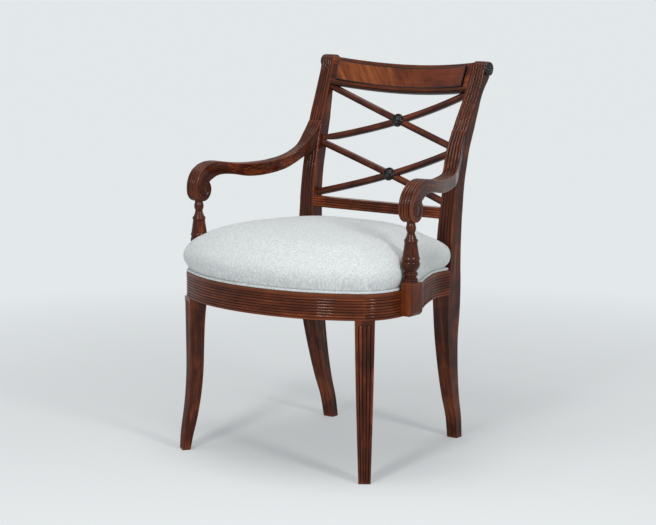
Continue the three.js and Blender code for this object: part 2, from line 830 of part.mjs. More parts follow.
function makeFrontLeg() {
  const reedTop = seatRailBottom - frontLegPlainTop;
  const stopShares = [0, 0.06, 0.13, 0.21, 0.3, 0.4, 0.52, 0.66, 0.8, 0.92];
  const heights = [
    ...stopShares.map((share) => share * reedTop),
    reedTop - reedRunOut,
    reedTop,
    seatRailBottom - gap,
  ];
  return join(loft(heights.map(frontLegRing)), frontLegTenon(0));
}

// Arms: the top line in shares of the reach from the post to the front of the scroll and of the
// rise from the middle of the scroll to the top of the root, with the share of the arm's
// thickness there, and the way outwards in plan
const armTopShares = [
  [-0.007, 1.036, 0.8], [0.006, 0.989, 0.8], [0.033, 0.888, 0.8], [0.0635, 0.798, 0.8],
  [0.11, 0.646, 0.8], [0.158, 0.545, 0.8], [0.213, 0.466, 0.86], [0.273, 0.415, 0.94],
  [0.336, 0.386, 1], [0.443, 0.372, 1], [0.547, 0.375, 1], [0.677, 0.422, 0.95],
  [0.778, 0.462, 1.12], [0.844, 0.455, 1.27], [0.899, 0.41, 1.27], [0.942, 0.345, 1.22],
  [0.9755, 0.255, 1.12], [0.993, 0.16, 0.95], [1, 0.072, 0.8], [1, 0, 0.65],
];
const armOutShares = smoothShares([
  [0, 0], [0.06, 0.039], [0.11, 0.11], [0.158, 0.198], [0.213, 0.306], [0.255, 0.386],
  [0.293, 0.452], [0.336, 0.505], [0.443, 0.62], [0.547, 0.733], [0.677, 0.8545],
  [0.778, 0.92], [0.899, 0.977], [1, 1],
]);
const armRootX = (postInner(armRootTop) + postOuter(armRootTop)) / 2;
const armRootY = postFront(armRootTop);
const armReach = armRootY + armPostBack + armScrollRadius;
const armRise = armRootTop - armScrollHeight;
const armCentreX = (share) => lerp(armRootX, armHalfSpread, armOutShares(clamp(share, 0, 1)));
const armSpot = (share, rise) => (
  vec(armCentreX(share), armRootY - armReach * share, armScrollHeight + armRise * rise));

const armScrollMiddle = vec(armHalfSpread, -armPostBack, armScrollHeight);

function armRing(curve, row) {
  const [share, , thicknessShare] = armTopShares[row];
  const top = curve.points[row];
  const tangent = curve.getTangent(row / (armTopShares.length - 1));
  const besideShare = 0.02;
  const across = armSpot(share - besideShare, 0).sub(armSpot(share + besideShare, 0))
    .normalize().cross(zAxis);
  const inwards = across.clone().cross(tangent).normalize();
  const rootShare = clamp(1 - share / 0.25, 0, 1);
  const width = lerp(armWidth, postWidth(armRootTop), rootShare);
  const thickness = armThickness * thicknessShare;
  const at = (sideways, deep) => (
    top.clone().addScaledVector(across, sideways).addScaledVector(inwards, deep));
  const face = reedShares(armReeds).map((rowShares) => (
    at(width * (0.5 - rowShares[0]), relief(rowShares, true))));
  return [
    ...face,
    at(-width / 2, thickness - edgeChamfer),
    at(edgeChamfer - width / 2, thickness),
    at(width / 2 - edgeChamfer, thickness),
    at(width / 2, thickness - edgeChamfer),
  ];
}

// Everything behind the line of a post's front face, to trim what is fitted against it
function behindPostFront() {
  const reach = postWidth(armRootTop);
  const rings = postHeights().filter((z) => z > reedStart).map((z) => {
    const front = postFront(z) - gap;
    const [inner, outer] = [postInner(z) - reach, postOuter(z) + reach];
    const back = front + 4 * reach;
    return [vec(inner, front, z), vec(outer, front, z), vec(outer, back, z), vec(inner, back, z)];
  });
  return loft(rings);
}

function makeArm(...mortises) {
  const curve = new THREE.CatmullRomCurve3(armTopShares.map(([share, rise]) => armSpot(share, rise)));
  const body = loft(armTopShares.map((row, i) => armRing(curve, i)));
  const drum = reededDrum(
    armScrollRadius,
    armWidth,
    armReeds,
    16,
    armScrollMiddle,
  );
  return cut(join(body, drum), behindPostFront(), ...mortises);
}

const armDowelShares = [0.36, 0.48];
const armDowel = (share, grow) => {
  const z = armRootTop - armRise * share;
  const x = armCentreX((armRootY - postFront(z)) / armReach);
  const place = vec(x, postFront(z) - armDowelInArm, z);
  return rod(armDowelRadius + grow, -grow, armDowelLength + grow, place, yAxis);
};

// Arm posts: a square block housed in the side rail and a turned column up to the scroll,
// in shares of the turned height and of the largest radius
const armPostBlockTop = seatRailTop + armPostBlockRise;
const armPostBlockBottom = seatRailBottom + armPostBlockLift;
const armPostBlockInner = armHalfSpread - armPostBlockWidth / 2;
const armPostBlockFront = -armPostBack - armPostBlockDepth / 2;
const armScrollBottom = armScrollHeight - armScrollRadius;
const turnedShares = [
  [0, 0.78], [0.022, 0.81], [0.06, 0.81], [0.067, 0.75], [0.073, 0.793], [0.093, 0.793],
  [0.13, 0.6], [0.15, 0.773], [0.19, 0.773], [0.21, 0.646], [0.26, 0.83], [0.3, 0.955],
  [0.34, 1], [0.375, 0.93], [0.388, 0.88], [0.395, 0.955], [0.44, 0.955], [0.555, 0.81],
  [0.67, 0.7], [0.684, 0.735], [0.727, 0.735], [0.735, 0.6], [0.845, 0.42], [0.875, 0.5],
  [0.91, 0.55], [0.955, 0.5], [1.03, 0.45],
];

function armPostBlock(grow) {
  const size = vec(
    armPostBlockWidth + 2 * grow,
    armPostBlockDepth + 2 * grow,
    armPostBlockTop - armPostBlockBottom + 2 * grow,
  );
  return boxAt(size, vec(armHalfSpread, -armPostBack, (armPostBlockTop + armPostBlockBottom) / 2));
}

function armPostTenon(grow) {
  const place = vec(armHalfSpread, -armPostBack, armScrollBottom);
  return rod(armPostTenonRadius + grow, -armPostTenonLength, armPostTenonLength + grow, place, zAxis);
}

// Rounding of the block's outer bottom edge
function blockRounding() {
  const radius = armPostBlockWidth / 3;
  const outer = armHalfSpread + armPostBlockWidth / 2;
  const shape = new THREE.Shape();
  shape.moveTo(outer - radius, armPostBlockBottom - cutOverrun);
  shape.lineTo(outer - radius, armPostBlockBottom);
  shape.absarc(outer - radius, armPostBlockBottom + radius, radius, -Math.PI / 2, 0, false);
  shape.lineTo(outer + cutOverrun, armPostBlockBottom + radius);
  shape.lineTo(outer + cutOverrun, armPostBlockBottom - cutOverrun);
  const depth = armPostBlockDepth + 2 * cutOverrun;
  const tool = new THREE.ExtrudeGeometry(shape, { depth, bevelEnabled: false, curveSegments: 4 });
  tool.rotateX(Math.PI / 2).translate(0, depth / 2 - armPostBack, 0);
  return closed(tool);
}

function makeArmPost(...mortises) {
  const height = armScrollBottom - armPostBlockTop;
  const rows = turnedShares.map(([rise, radius]) => [armPostRadius * radius, height * rise]);
  const column = turned(
    [[0, -cutOverrun], [rows[0][0], -cutOverrun], ...rows, [0, rows.at(-1)[1]]],
    12,
    vec(armHalfSpread, -armPostBack, armPostBlockTop),
    zAxis,
  );
  const scroll = rod(armScrollRadius + gap, -armWidth, armWidth, armScrollMiddle, xAxis, 16);
  const body = join(cut(armPostBlock(0), blockRounding()), cut(column, scroll));
  return cut(join(body, armPostTenon(0)), ...mortises);
}

// Corner blocks, level with the tops of the rails
const blockMiddle = seatRailTop - cornerBlockHeight / 2;

function makeFrontBlock(frontRail, sideRail, ...mortises) {
  const inwards = seatRailThickness + cornerBlockThickness / 2;
  const size = vec(cornerBlockLength, cornerBlockThickness, cornerBlockHeight);
  const block = boxAt(size, atCorner(0, inwards, blockMiddle), cornerYaw);
  const inward = cornerSpot.out.clone().negate();
  return cut(fitted(fitted(block, frontRail, inward), sideRail, inward), ...mortises);
}

// Rear block: a triangle in the corner of side and back rail, notched round the post
const rearCornerX = railEndX - seatRailThickness - gap;
const rearCornerY = backRailSetBack - gap;
const rearBlockReach = 1.25 * cornerBlockLength;

function makeRearBlock(sideRail, ...mortises) {
  const ring = (z) => [
    vec(postInner(z) - gap, rearCornerY, z),
    vec(rearCornerX - rearBlockReach, rearCornerY, z),
    vec(rearCornerX, rearCornerY - rearBlockReach, z),
    vec(rearCornerX, postFront(z) - gap, z),
    vec(postInner(z) - gap, postFront(z) - gap, z),
  ];
  const block = loft([ring(seatRailTop - cornerBlockHeight), ring(seatRailTop)]);
  return cut(fitted(block, sideRail, xAxis.clone().negate()), ...mortises);
}

// Screws: the place of each head on the wood, the way it is driven and its length
function screw({ place, way, length }) {
  const profile = [
    [0, -screwHeadHeight], [0.7 * screwHeadRadius, -screwHeadHeight], [screwHeadRadius, 0],
    [screwRadius, 0], [screwRadius, length - 2 * screwRadius], [0, length],
  ];
  return turned(profile, 6, place.clone().addScaledVector(way, -gap), way);
}

// Hole of a screw, spot-faced for its head
function screwHole({ place, way, length }) {
  const [wide, narrow] = [screwHeadRadius + gap, screwRadius + gap];
  const profile = [
    [0, -cutOverrun], [wide, -cutOverrun], [wide, 0], [narrow, 0], [narrow, length + gap],
    [0, length + gap],
  ];
  return turned(profile, 6, place, way);
}

const frontBlockScrews = [-1, 1].map((side) => ({
  place: atCorner(
    0.32 * side * cornerBlockLength,
    seatRailThickness + cornerBlockThickness,
    blockMiddle,
  ),
  way: cornerSpot.out,
  length: blockScrewLength,
}));
const rearWay = vec(1, 1, 0).normalize();
const rearSideways = vec(1, -1, 0).normalize();
const rearFace = vec(rearCornerX, rearCornerY, 0)
  .addScaledVector(rearWay, -rearBlockReach * Math.SQRT1_2);
const rearBlockScrews = [-1, 1].map((side) => ({
  place: rearFace.clone().setZ(blockMiddle + 0.28 * side * cornerBlockHeight),
  way: rearWay,
  length: 1.6 * blockScrewLength,
}));
const seatScrews = [
  atCorner(0, seatRailThickness + cornerBlockThickness / 2, 0),
  rearFace.clone().addScaledVector(rearWay, 3 * screwHeadRadius)
    .addScaledVector(rearSideways, 4 * screwHeadRadius),
].map((spot) => ({
  place: spot.setZ(seatRailTop - cornerBlockHeight),
  way: zAxis,
  length: seatScrewLength,
}));
const armPostScrews = [-1, 1].map((side) => ({
  place: vec(
    edgeAt(armPostRow + 1).point.x - seatRailThickness,
    -armPostBack + 0.25 * side * armPostBlockDepth,
    railMiddle + 0.15 * side * seatRailHeight,
  ),
  way: xAxis,
  length: blockScrewLength,
}));

// Corner of an outline moved in, by one inset from the stretch before it and by another from
// the stretch after it
function insetCorner(before, corner, after, insetBefore, insetAfter) {
  const straightShare = 0.001;
  const arriving = corner.clone().sub(before).normalize();
  const leaving = after.clone().sub(corner).normalize();
  const turn = arriving.clone().cross(leaving).z;
  if (Math.abs(turn) < straightShare) {
    return corner.clone().addScaledVector(zAxis.clone().cross(arriving), insetBefore);
  }
  return corner.clone().addScaledVector(leaving, insetBefore / turn)
    .addScaledVector(arriving, -insetAfter / turn);
}

// Edge of the upholstery in plan, counter-clockwise from the middle of the front: inside the
// seat's free edge by an inset, clear of the arm posts' blocks and the back posts, and then
// inside the layers that lie over it
function upholsteryEdge(inset, layers = 0) {
  const free = inset + layers;
  const held = Math.max(inset, cushionClearance) + layers;
  const beside = Math.min(held, coverFootInset + layers);
  const back = Math.max(inset, 0) + layers;
  const blockBack = armPostBlockFront + armPostBlockDepth;
  const backY = backRailSetBack + backRailThickness - seatBackMargin;
  const rows = (from, to) => (
    Array.from({ length: to - from }, (_, i) => [edgeAt(from + i).point, free]));
  // Each corner with the inset of the stretch that follows it
  const right = [
    ...rows(0, armPostRow - 1),
    [vec(edgeAt(armPostRow - 0.5).point.x, armPostBlockFront, 0), beside],
    [vec(armPostBlockInner, armPostBlockFront, 0), held],
    [vec(armPostBlockInner, blockBack, 0), beside],
    [vec(edgeAt(sideRow - 1).point.x, blockBack, 0), free],
    ...rows(sideRow, lastRow),
    [vec(railEndX, 0, 0), held],
    [vec(postHalfGapSeat, 0, 0), held],
    [vec(postHalfGapSeat, backY, 0), back],
    [vec(postHalfGapSeat / 2, backY, 0), back],
  ];
  const left = right.slice(1).map(([p], i) => [vec(-p.x, p.y, 0), right[i][1]]).reverse();
  const corners = [...right, [vec(0, backY, 0), back], ...left];
  return corners.map(([corner, insetAfter], i) => {
    const [before, insetBefore] = corners.at(i - 1);
    const [after] = corners[(i + 1) % corners.length];
    return insetCorner(before, corner, after, insetBefore, insetAfter);
  });
}

// Corners of a closed outline rounded off, a little more with each pass
function rounded(points, passes) {
  let result = points;
  for (let pass = 0; pass < passes; pass += 1) {
    result = result.map((p, i, all) => {
      const sides = all.at(i - 1).clone().add(all[(i + 1) % all.length]);
      return p.clone().multiplyScalar(2).add(sides).divideScalar(4);
    });
  }
  return result;
}

// Section of the cushion. Walls: shares of the foot's inset or of the overhang, share of the
// crown, passes of rounding. Top: share of the way to the middle, share of the crown, passes.
const cushionWallShares = [
  [1, 0, 0], [1, 0.048, 0], [0.58, 0.083, 0], [-0.67, 0.217, 0], [-1, 0.313, 0],
  [-0.33, 0.435, 0], [0.93, 0.583, 1], [2.33, 0.687, 2],
];
const cushionTopShares = [[0.1, 0.81, 3], [0.29, 0.904, 4], [0.54, 0.965, 5], [0.85, 0.997, 6]];
const seatBase = seatRailTop + gap;

// Body of the cushion under some layers, down to a bottom
function cushionBody(layers, bottom, rowStep = 1) {
  const crown = cushionCrown - layers;
  const outlineAt = (share) => (
    upholsteryEdge(share * (share > 0 ? coverFootInset : cushionOverhang), layers));
  const ringAt = (outline, rise, passes) => (
    rounded(outline, passes).map((p) => p.clone().setZ(seatBase + rise * crown)));
  const rings = cushionWallShares.filter((row, i) => i === 0 || (i + 1) % rowStep === 0)
    .map(([share, rise, passes]) => ringAt(outlineAt(share), rise, passes));
  const shoulder = outlineAt(cushionWallShares.at(-1)[0]);
  const middle = vec(0, -0.45 * seatDepth, 0);
  cushionTopShares.forEach(([share, rise, passes]) => {
    rings.push(ringAt(shoulder.map((p) => p.clone().lerp(middle, share)), rise, passes));
  });
  rings[0].forEach((p) => p.setZ(bottom));
  return loft(rings);
}

const makeSeatCover = () => (
  cut(cushionBody(0, seatBase), cushionBody(coverThickness, seatBase - cutOverrun, 2)));

function makeSeatFoam() {
  const reach = 2 * (seatHalfWidth + seatDepth);
  const below = boxAt(
    vec(reach, reach, reach),
    vec(0, 0, seatBase + boardThickness + gap - reach / 2),
  );
  return cut(cushionBody(coverThickness + gap, seatBase - cutOverrun, 2), below);
}

function flatPiece(inset, layers, bottom, depth) {
  const outline = upholsteryEdge(inset, layers).map((p) => new THREE.Vector2(p.x, p.y));
  const piece = new THREE.ExtrudeGeometry(new THREE.Shape(outline), { depth, bevelEnabled: false });
  return closed(piece.translate(0, 0, bottom));
}

const makeSeatBoard = (...holes) => (
  cut(flatPiece(coverFootInset, coverThickness + gap, seatBase, boardThickness), ...holes));

function makeDustCover(...legs) {
  const bottom = seatRailBottom - gap - dustCoverThickness;
  const sheet = flatPiece(dustCoverInset, 0, bottom, dustCoverThickness);
  const ways = [xAxis, yAxis].flatMap((way) => [way, way.clone().negate()]);
  return legs.reduce((rest, leg) => fitted(rest, leg, ...ways), sheet);
}

// Welt: a cord along the foot of the cover
function makeWelt() {
  const sides = 6;
  const lines = Array.from({ length: sides }, (_, k) => {
    const angle = (2 * Math.PI * k) / sides;
    const z = seatBase + weltRadius * (1 + Math.sin(angle));
    return upholsteryEdge(weltInset, weltRadius * Math.cos(angle)).map((p) => p.setZ(z));
  });
  return loft(lines[0].map((_, i) => lines.map((line) => line[i])), true);
}

// Finishes
const finish = (color, roughness, metalness = 0) => (
  () => new THREE.MeshStandardMaterial({ color, roughness, metalness, flatShading: true }));
const mahogany = finish(0x5c2715, 0.3);
const flameMahogany = finish(0x7d3b18, 0.22);
const ebonised = finish(0x15120f, 0.3);
const beech = finish(0xb08a5c, 0.65);
const linen = finish(0xd2d3cf, 0.95);
const foamRubber = finish(0xe6dcb8, 0.95);
const plywood = finish(0xb99562, 0.7);
const cambric = finish(0x18181a, 0.95);
const steel = finish(0x9a9a98, 0.4, 1);

const chair = new THREE.Group();

function addPiece(name, geometry, material) {
  const mesh = new THREE.Mesh(geometry, material());
  mesh.name = name;
  chair.add(mesh);
}

function addPair(name, geometry, material) {
  addPiece(`${name}_right`, geometry, material);
  addPiece(`${name}_left`, mirrored(geometry), material);
}

// Joinery that several pieces share
const bothSides = (geometries) => geometries.flatMap((geometry) => [geometry, mirrored(geometry)]);
const legMortise = frontLegTenon(gap);
const frontBlockHoles = frontBlockScrews.map(screwHole);
const rearBlockHoles = rearBlockScrews.map(screwHole);
const armPostHoles = armPostScrews.map(screwHole);
const seatHoles = seatScrews.map(screwHole);
const dowelHoles = armDowelShares.map((share) => armDowel(share, gap));

const backPost = makePost();
const postMortises = [
  sideRailTenon(gap),
  backRailTenon(1, gap),
  crestTenon(1, gap),
  crossRailTenon(1, gap),
  ...barMortises(),
  ...dowelHoles,
  ...rearBlockHoles,
  roundelHole,
];
const frontRail = makeFrontRail();
const sideRail = makeSideRail();
const frontLeg = makeFrontLeg();

// Back
addPair('back_post', cut(backPost, ...postMortises), mahogany);
addPiece('crest_rail', makeCrest(backPost), mahogany);
addPiece('crest_panel', makeCrestPanel(), flameMahogany);
addPiece('crest_stringing', makeCrestStringing(), ebonised);
addPiece('lower_cross_rail', makeCrossRail(backPost), mahogany);
const crosses = {
  upper: latticeCross(latticeTopEnd, latticeHighMiddle, -1),
  lower: latticeCross(latticeLowMiddle, latticeBottomEnd, 1),
};
Object.entries(crosses).forEach(([level, { rising, falling, rosette }]) => {
  addPiece(`lattice_${level}_rising_bar`, rising, mahogany);
  addPiece(`lattice_${level}_falling_bar`, falling, mahogany);
  addPiece(`rosette_${level}`, rosette, ebonised);
});
addPair('roundel', makeRoundel(), ebonised);

// Arms
addPair('arm', makeArm(armPostTenon(gap), ...dowelHoles), mahogany);
addPair('arm_post', makeArmPost(...armPostHoles), mahogany);
armDowelShares.forEach((share, i) => addPair(`arm_dowel_${i + 1}`, armDowel(share, 0), beech));

// Seat frame
addPiece('seat_rail_front', cut(frontRail, ...bothSides([legMortise, ...frontBlockHoles])), mahogany);
addPair(
  'seat_rail',
  cut(sideRail, legMortise, armPostBlock(gap), ...frontBlockHoles, ...armPostHoles),
  mahogany,
);
addPiece('seat_rail_back', makeBackRail(backPost), mahogany);
addPair('front_leg', frontLeg, mahogany);
const frontBlock = makeFrontBlock(frontRail, sideRail, ...frontBlockHoles, ...seatHoles);
addPair('front_corner_block', frontBlock, beech);
addPair('rear_corner_block', makeRearBlock(sideRail, ...rearBlockHoles, ...seatHoles), beech);
const screws = {
  front_block_screw: frontBlockScrews,
  rear_block_screw: rearBlockScrews,
  arm_post_screw: armPostScrews,
  seat_screw: seatScrews,
};
Object.entries(screws).forEach(([name, row]) => {
  row.forEach((spot, i) => addPair(`${name}_${i + 1}`, screw(spot), steel));
});

// Upholstery
addPiece('seat_board', makeSeatBoard(...bothSides(seatHoles)), plywood);
addPiece('seat_foam', makeSeatFoam(), foamRubber);
addPiece('seat_cover', makeSeatCover(), linen);
addPiece('seat_welt', makeWelt(), linen);
addPiece('seat_dust_cover', makeDustCover(frontLeg, mirrored(frontLeg)), cambric);

// The footprint is centred on the origin
const footprint = new THREE.Box3().setFromObject(chair).getCenter(new THREE.Vector3());
chair.position.set(-footprint.x, -footprint.y, 0);

export default chair;
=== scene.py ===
import math

import bmesh
import bpy
import numpy as np
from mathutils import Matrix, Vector


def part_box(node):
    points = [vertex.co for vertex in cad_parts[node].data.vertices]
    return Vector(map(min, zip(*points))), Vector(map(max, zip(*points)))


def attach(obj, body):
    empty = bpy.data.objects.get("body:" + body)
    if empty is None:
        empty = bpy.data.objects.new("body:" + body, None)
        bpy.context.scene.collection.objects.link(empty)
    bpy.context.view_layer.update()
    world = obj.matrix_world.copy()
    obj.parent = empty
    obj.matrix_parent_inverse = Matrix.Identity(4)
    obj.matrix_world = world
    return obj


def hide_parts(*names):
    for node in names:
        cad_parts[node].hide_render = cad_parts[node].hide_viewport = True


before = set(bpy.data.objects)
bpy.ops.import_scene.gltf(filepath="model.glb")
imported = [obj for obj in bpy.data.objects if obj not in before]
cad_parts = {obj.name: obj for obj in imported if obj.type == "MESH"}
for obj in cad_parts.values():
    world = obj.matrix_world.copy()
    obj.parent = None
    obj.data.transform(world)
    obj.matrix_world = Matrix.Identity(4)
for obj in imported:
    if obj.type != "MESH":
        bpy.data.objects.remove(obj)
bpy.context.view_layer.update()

# Pieces are drawn in millimetres, y from the front face of the back posts at the rail's top
mm = 0.001
backRail = {"front": 8, "depth": 22, "round": 1.2, "into": 0.5, "rows": 25}
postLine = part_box("seat_rail_back")[0].y / mm - backRail["front"]

scene = bpy.context.scene
scene.view_settings.view_transform = "Standard"

view = {
    "place": (2.7954, -3.7992, 1.1885),     # metres
    "azimuth": 36.51,                       # degrees round from the front, and down
    "down": 9.22,
    "focal": 2116.78,                       # in pixels of an image this wide
    "imageWidth": 656,
    "sensor": 36,
}
turn = math.radians(view["azimuth"])
sideways = Vector((math.cos(turn), math.sin(turn), 0))
forward = Vector((-math.sin(turn), math.cos(turn), 0))


def addObject(name, data):
    thing = bpy.data.objects.new(name, data)
    scene.collection.objects.link(thing)
    return thing


def makeCamera():
    data = bpy.data.cameras.new("chairView")
    data.sensor_width = view["sensor"]
    data.lens = view["focal"] / view["imageWidth"] * view["sensor"]
    data.clip_end = 60
    camera = addObject("chairView", data)
    down = math.radians(view["down"])
    look = forward * math.cos(down) - Vector((0, 0, math.sin(down)))
    camera.location = view["place"]
    camera.rotation_euler = look.to_track_quat("-Z", "Y").to_euler()
    scene.camera = camera


makeCamera()
print("camera placed")


# Lines and skins

def smoothTable(rows):   # smooth function through rows of (place, value)
    places = np.array([row[0] for row in rows], float)
    values = np.array([row[1] for row in rows], float)
    last = len(rows) - 1
    before = np.maximum(np.arange(last + 1) - 1, 0)
    after = np.minimum(np.arange(last + 1) + 1, last)
    slopes = (values[after] - values[before]) / (places[after] - places[before])

    def at(place):
        place = np.clip(np.asarray(place, float), places[0], places[-1])
        i = np.clip(np.searchsorted(places, place, "right") - 1, 0, last - 1)
        span = places[i + 1] - places[i]
        s = (place - places[i]) / span
        return ((2 * s**3 - 3 * s**2 + 1) * values[i] + (s**3 - 2 * s**2 + s) * span * slopes[i]
                + (3 * s**2 - 2 * s**3) * values[i + 1] + (s**3 - s**2) * span * slopes[i + 1])
    return at


def smoothLine(rows, perSpan):   # rounded line through points with any number of axes
    points = np.array(rows, float)
    padded = np.vstack([2 * points[0] - points[1], points, 2 * points[-1] - points[-2]])
    line = []
    for i in range(len(points) - 1):
        p = padded[i:i + 4]
        knots = np.concatenate([[0], np.cumsum(np.linalg.norm(np.diff(p, axis=0), axis=1) ** 0.5)])
        for k in range(perSpan):
            t = knots[1] + (knots[2] - knots[1]) * k / perSpan
            a = [((knots[j + 1] - t) * p[j] + (t - knots[j]) * p[j + 1]) / (knots[j + 1] - knots[j])
                 for j in range(3)]
            b = [((knots[j + 2] - t) * a[j] + (t - knots[j]) * a[j + 1]) / (knots[j + 2] - knots[j])
                 for j in range(2)]
            line.append(((knots[2] - t) * b[0] + (t - knots[1]) * b[1]) / (knots[2] - knots[1]))
    line.append(points[-1])
    return np.array(line)


def lengthAlong(line):
    return np.concatenate([[0], np.cumsum(np.linalg.norm(np.diff(line, axis=0), axis=1))])


def evenLine(line, count):
    along = lengthAlong(line)
    stops = np.linspace(0, along[-1], count)
    return np.column_stack([np.interp(stops, along, line[:, k]) for k in range(line.shape[1])])


def skinFaces(ringCount, pointCount):   # a closed skin over rings of points, capped at both ends
    faces = []
    for r in range(ringCount - 1):
        near, far = r * pointCount, (r + 1) * pointCount
        for i in range(pointCount):
            j = (i + 1) % pointCount
            faces.append((near + i, near + j, far + j, far + i))
    faces.append(tuple(range(pointCount)))
    faces.append(tuple(range((ringCount - 1) * pointCount, ringCount * pointCount)))
    return faces


def readValues(items, field, width=3):   # numbers of a mesh's vertices, edges or attribute, in rows
    values = np.empty(len(items) * width, np.int32 if field == "vertices" else np.float32)
    items.foreach_get(field, values)
    return values.reshape(-1, width)


def pointsOf(piece):
    return readValues(piece.data.vertices, "co")


def storeValues(mesh, name, values):
    values = np.asarray(values, np.float32)
    kind, field = ("FLOAT", "value") if values.ndim == 1 else ("FLOAT_VECTOR", "vector")
    attribute = mesh.attributes.get(name) or mesh.attributes.new(name, kind, "POINT")
    attribute.data.foreach_set(field, values.ravel())


def inFrame(points):   # from millimetres off the posts' line to metres in the shared frame
    return (np.array(points, float) + (0, postLine, 0)) * mm


def addPiece(name, points, faces, grain=None, side=1):   # side is -1 for the left one of a pair
    points = np.array(points, float).reshape(-1, 3) * (side, 1, 1)
    mesh = bpy.data.meshes.new(name)
    mesh.from_pydata(inFrame(points).tolist(), [], faces)
    if grain is not None:
        storeValues(mesh, "grain", np.array(grain) * mm)
    return addObject(name, mesh)


def joinParts(parts):   # points, faces and grain of several skins as one
    faces, offset = [], 0
    for points, partFaces, _ in parts:
        faces += [tuple(i + offset for i in face) for face in partFaces]
        offset += len(points)
    return np.vstack([part[0] for part in parts]), faces, np.vstack([part[2] for part in parts])


def editMesh(mesh, change):   # change works on the mesh's own faces and vertices
    shape = bmesh.new()
    shape.from_mesh(mesh)
    change(shape)
    shape.to_mesh(mesh)
    shape.free()


def mergeAndTurn(shape):   # doubles merged, faces outwards
    bmesh.ops.remove_doubles(shape, verts=shape.verts, dist=0.00002)
    bmesh.ops.dissolve_degenerate(shape, dist=0.00001, edges=shape.edges)
    bmesh.ops.recalc_face_normals(shape, faces=shape.faces)
    for face in shape.faces:
        face.smooth = True


def tidyMesh(piece, crease=38):   # arrises sharper than the crease, in degrees, stay sharp
    editMesh(piece.data, mergeAndTurn)
    piece.data.set_sharp_from_angle(angle=math.radians(crease))


marks = {"hollowGain": 6, "hollowFrom": 0.3, "spread": 0.6, "arrisGain": 7, "arrisFrom": 0.35}


def markHollows(piece):   # where the surface is hollow or an arris: painted shade in the hollows, wear and a painted highlight on the arrises
    points, edges = pointsOf(piece), readValues(piece.data.edges, "vertices", 2)
    normals = readValues(piece.data.vertices, "normal")
    step = points[edges[:, 1]] - points[edges[:, 0]]
    step /= np.maximum(np.linalg.norm(step, axis=1), 1e-9)[:, None]
    bend = np.zeros(len(points))
    count = np.zeros(len(points))
    for here, sign in ((0, 1), (1, -1)):
        np.add.at(bend, edges[:, here], sign * (normals[edges[:, here]] * step).sum(1))
        np.add.at(count, edges[:, here], 1)
    bend /= np.maximum(count, 1)
    hollow = np.clip(marks["hollowGain"] * bend - marks["hollowFrom"], 0, 1)
    spread = hollow.copy()
    for here in (0, 1):
        np.maximum.at(spread, edges[:, here], marks["spread"] * hollow[edges[:, 1 - here]])
    storeValues(piece.data, "hollow", spread)
    storeValues(piece.data, "arris", np.clip(-marks["arrisGain"] * bend - marks["arrisFrom"], 0, 1))


def readGrain(piece):
    return readValues(piece.data.attributes["grain"].data, "vector")


def darken(piece, isDark, amount):   # darker along a line or a moulding: a dark joint line, or painted shade on a bead or an underside
    hollow = readValues(piece.data.attributes["hollow"].data, "value", 1)[:, 0]
    storeValues(piece.data, "hollow", np.where(isDark, np.maximum(hollow, amount), hollow))


def finishPiece(piece, material, slot, *nodes):
    markHollows(piece)
    piece.data.materials.clear()
    piece.data.materials.append(material)
    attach(piece, "root")
    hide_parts(*nodes)
    return piece


def finishWood(piece, node, crease=38):   # most pieces are polished mahogany
    tidyMesh(piece, crease)
    return finishPiece(piece, mahogany, "mahogany", node)


def onBothSides(makeOne):
    for side, suffix in ((1, "Right"), (-1, "Left")):
        makeOne(side, suffix)


# Node trees

def addNode(tree, kind, settings=None, **inputs):   # an input is named, or _ and its number
    node = tree.nodes.new(kind)
    for name, value in (settings or {}).items():
        setattr(node, name, value)
    for name, value in inputs.items():
        socket = node.inputs[int(name[1:])] if name[0] == "_" else node.inputs[name]
        if isinstance(value, bpy.types.NodeSocket):
            tree.links.new(value, socket)
        else:
            socket.default_value = value
    return node


def doMath(tree, operation, a, b=0.0, c=0.0):
    return addNode(tree, "ShaderNodeMath", {"operation": operation}, _0=a, _1=b, _2=c).outputs[0]


def times(tree, a, b):
    return doMath(tree, "MULTIPLY", a, b)


def timesPlus(tree, a, b, c):
    return doMath(tree, "MULTIPLY_ADD", a, b, c)


def plus(tree, a, b):
    return doMath(tree, "ADD", a, b)


def minus(tree, a, b):
    return doMath(tree, "SUBTRACT", a, b)


def joinAxes(tree, x, y=0.0, z=0.0):
    return addNode(tree, "ShaderNodeCombineXYZ", _0=x, _1=y, _2=z).outputs[0]


def splitAxes(tree, vector):
    return addNode(tree, "ShaderNodeSeparateXYZ", _0=vector).outputs


def markOf(tree, name, output):
    return addNode(tree, "ShaderNodeAttribute", {"attribute_name": name}).outputs[output]


def clearedTree(owner):
    owner.use_nodes = True
    owner.node_tree.nodes.clear()
    return owner.node_tree


def scaled(tree, vector, scale):
    node = addNode(tree, "ShaderNodeVectorMath", {"operation": "MULTIPLY"}, _0=vector, _1=scale)
    return node.outputs[0]


def mixColours(tree, factor, a, b):
    return addNode(tree, "ShaderNodeMix", {"data_type": "RGBA"}, _0=factor, _6=a, _7=b).outputs[2]


def remap(tree, value, low, high, toLow=0.0, toHigh=1.0):
    return addNode(tree, "ShaderNodeMapRange", {"clamp": True}, Value=value, **{
        "From Min": low, "From Max": high, "To Min": toLow, "To Max": toHigh}).outputs[0]


def noiseOf(tree, vector, detail=3.0, rough=0.55, distortion=0.0):
    return addNode(tree, "ShaderNodeTexNoise", Vector=vector, Scale=1.0, Detail=detail,
                   Roughness=rough, Distortion=distortion).outputs["Fac"]


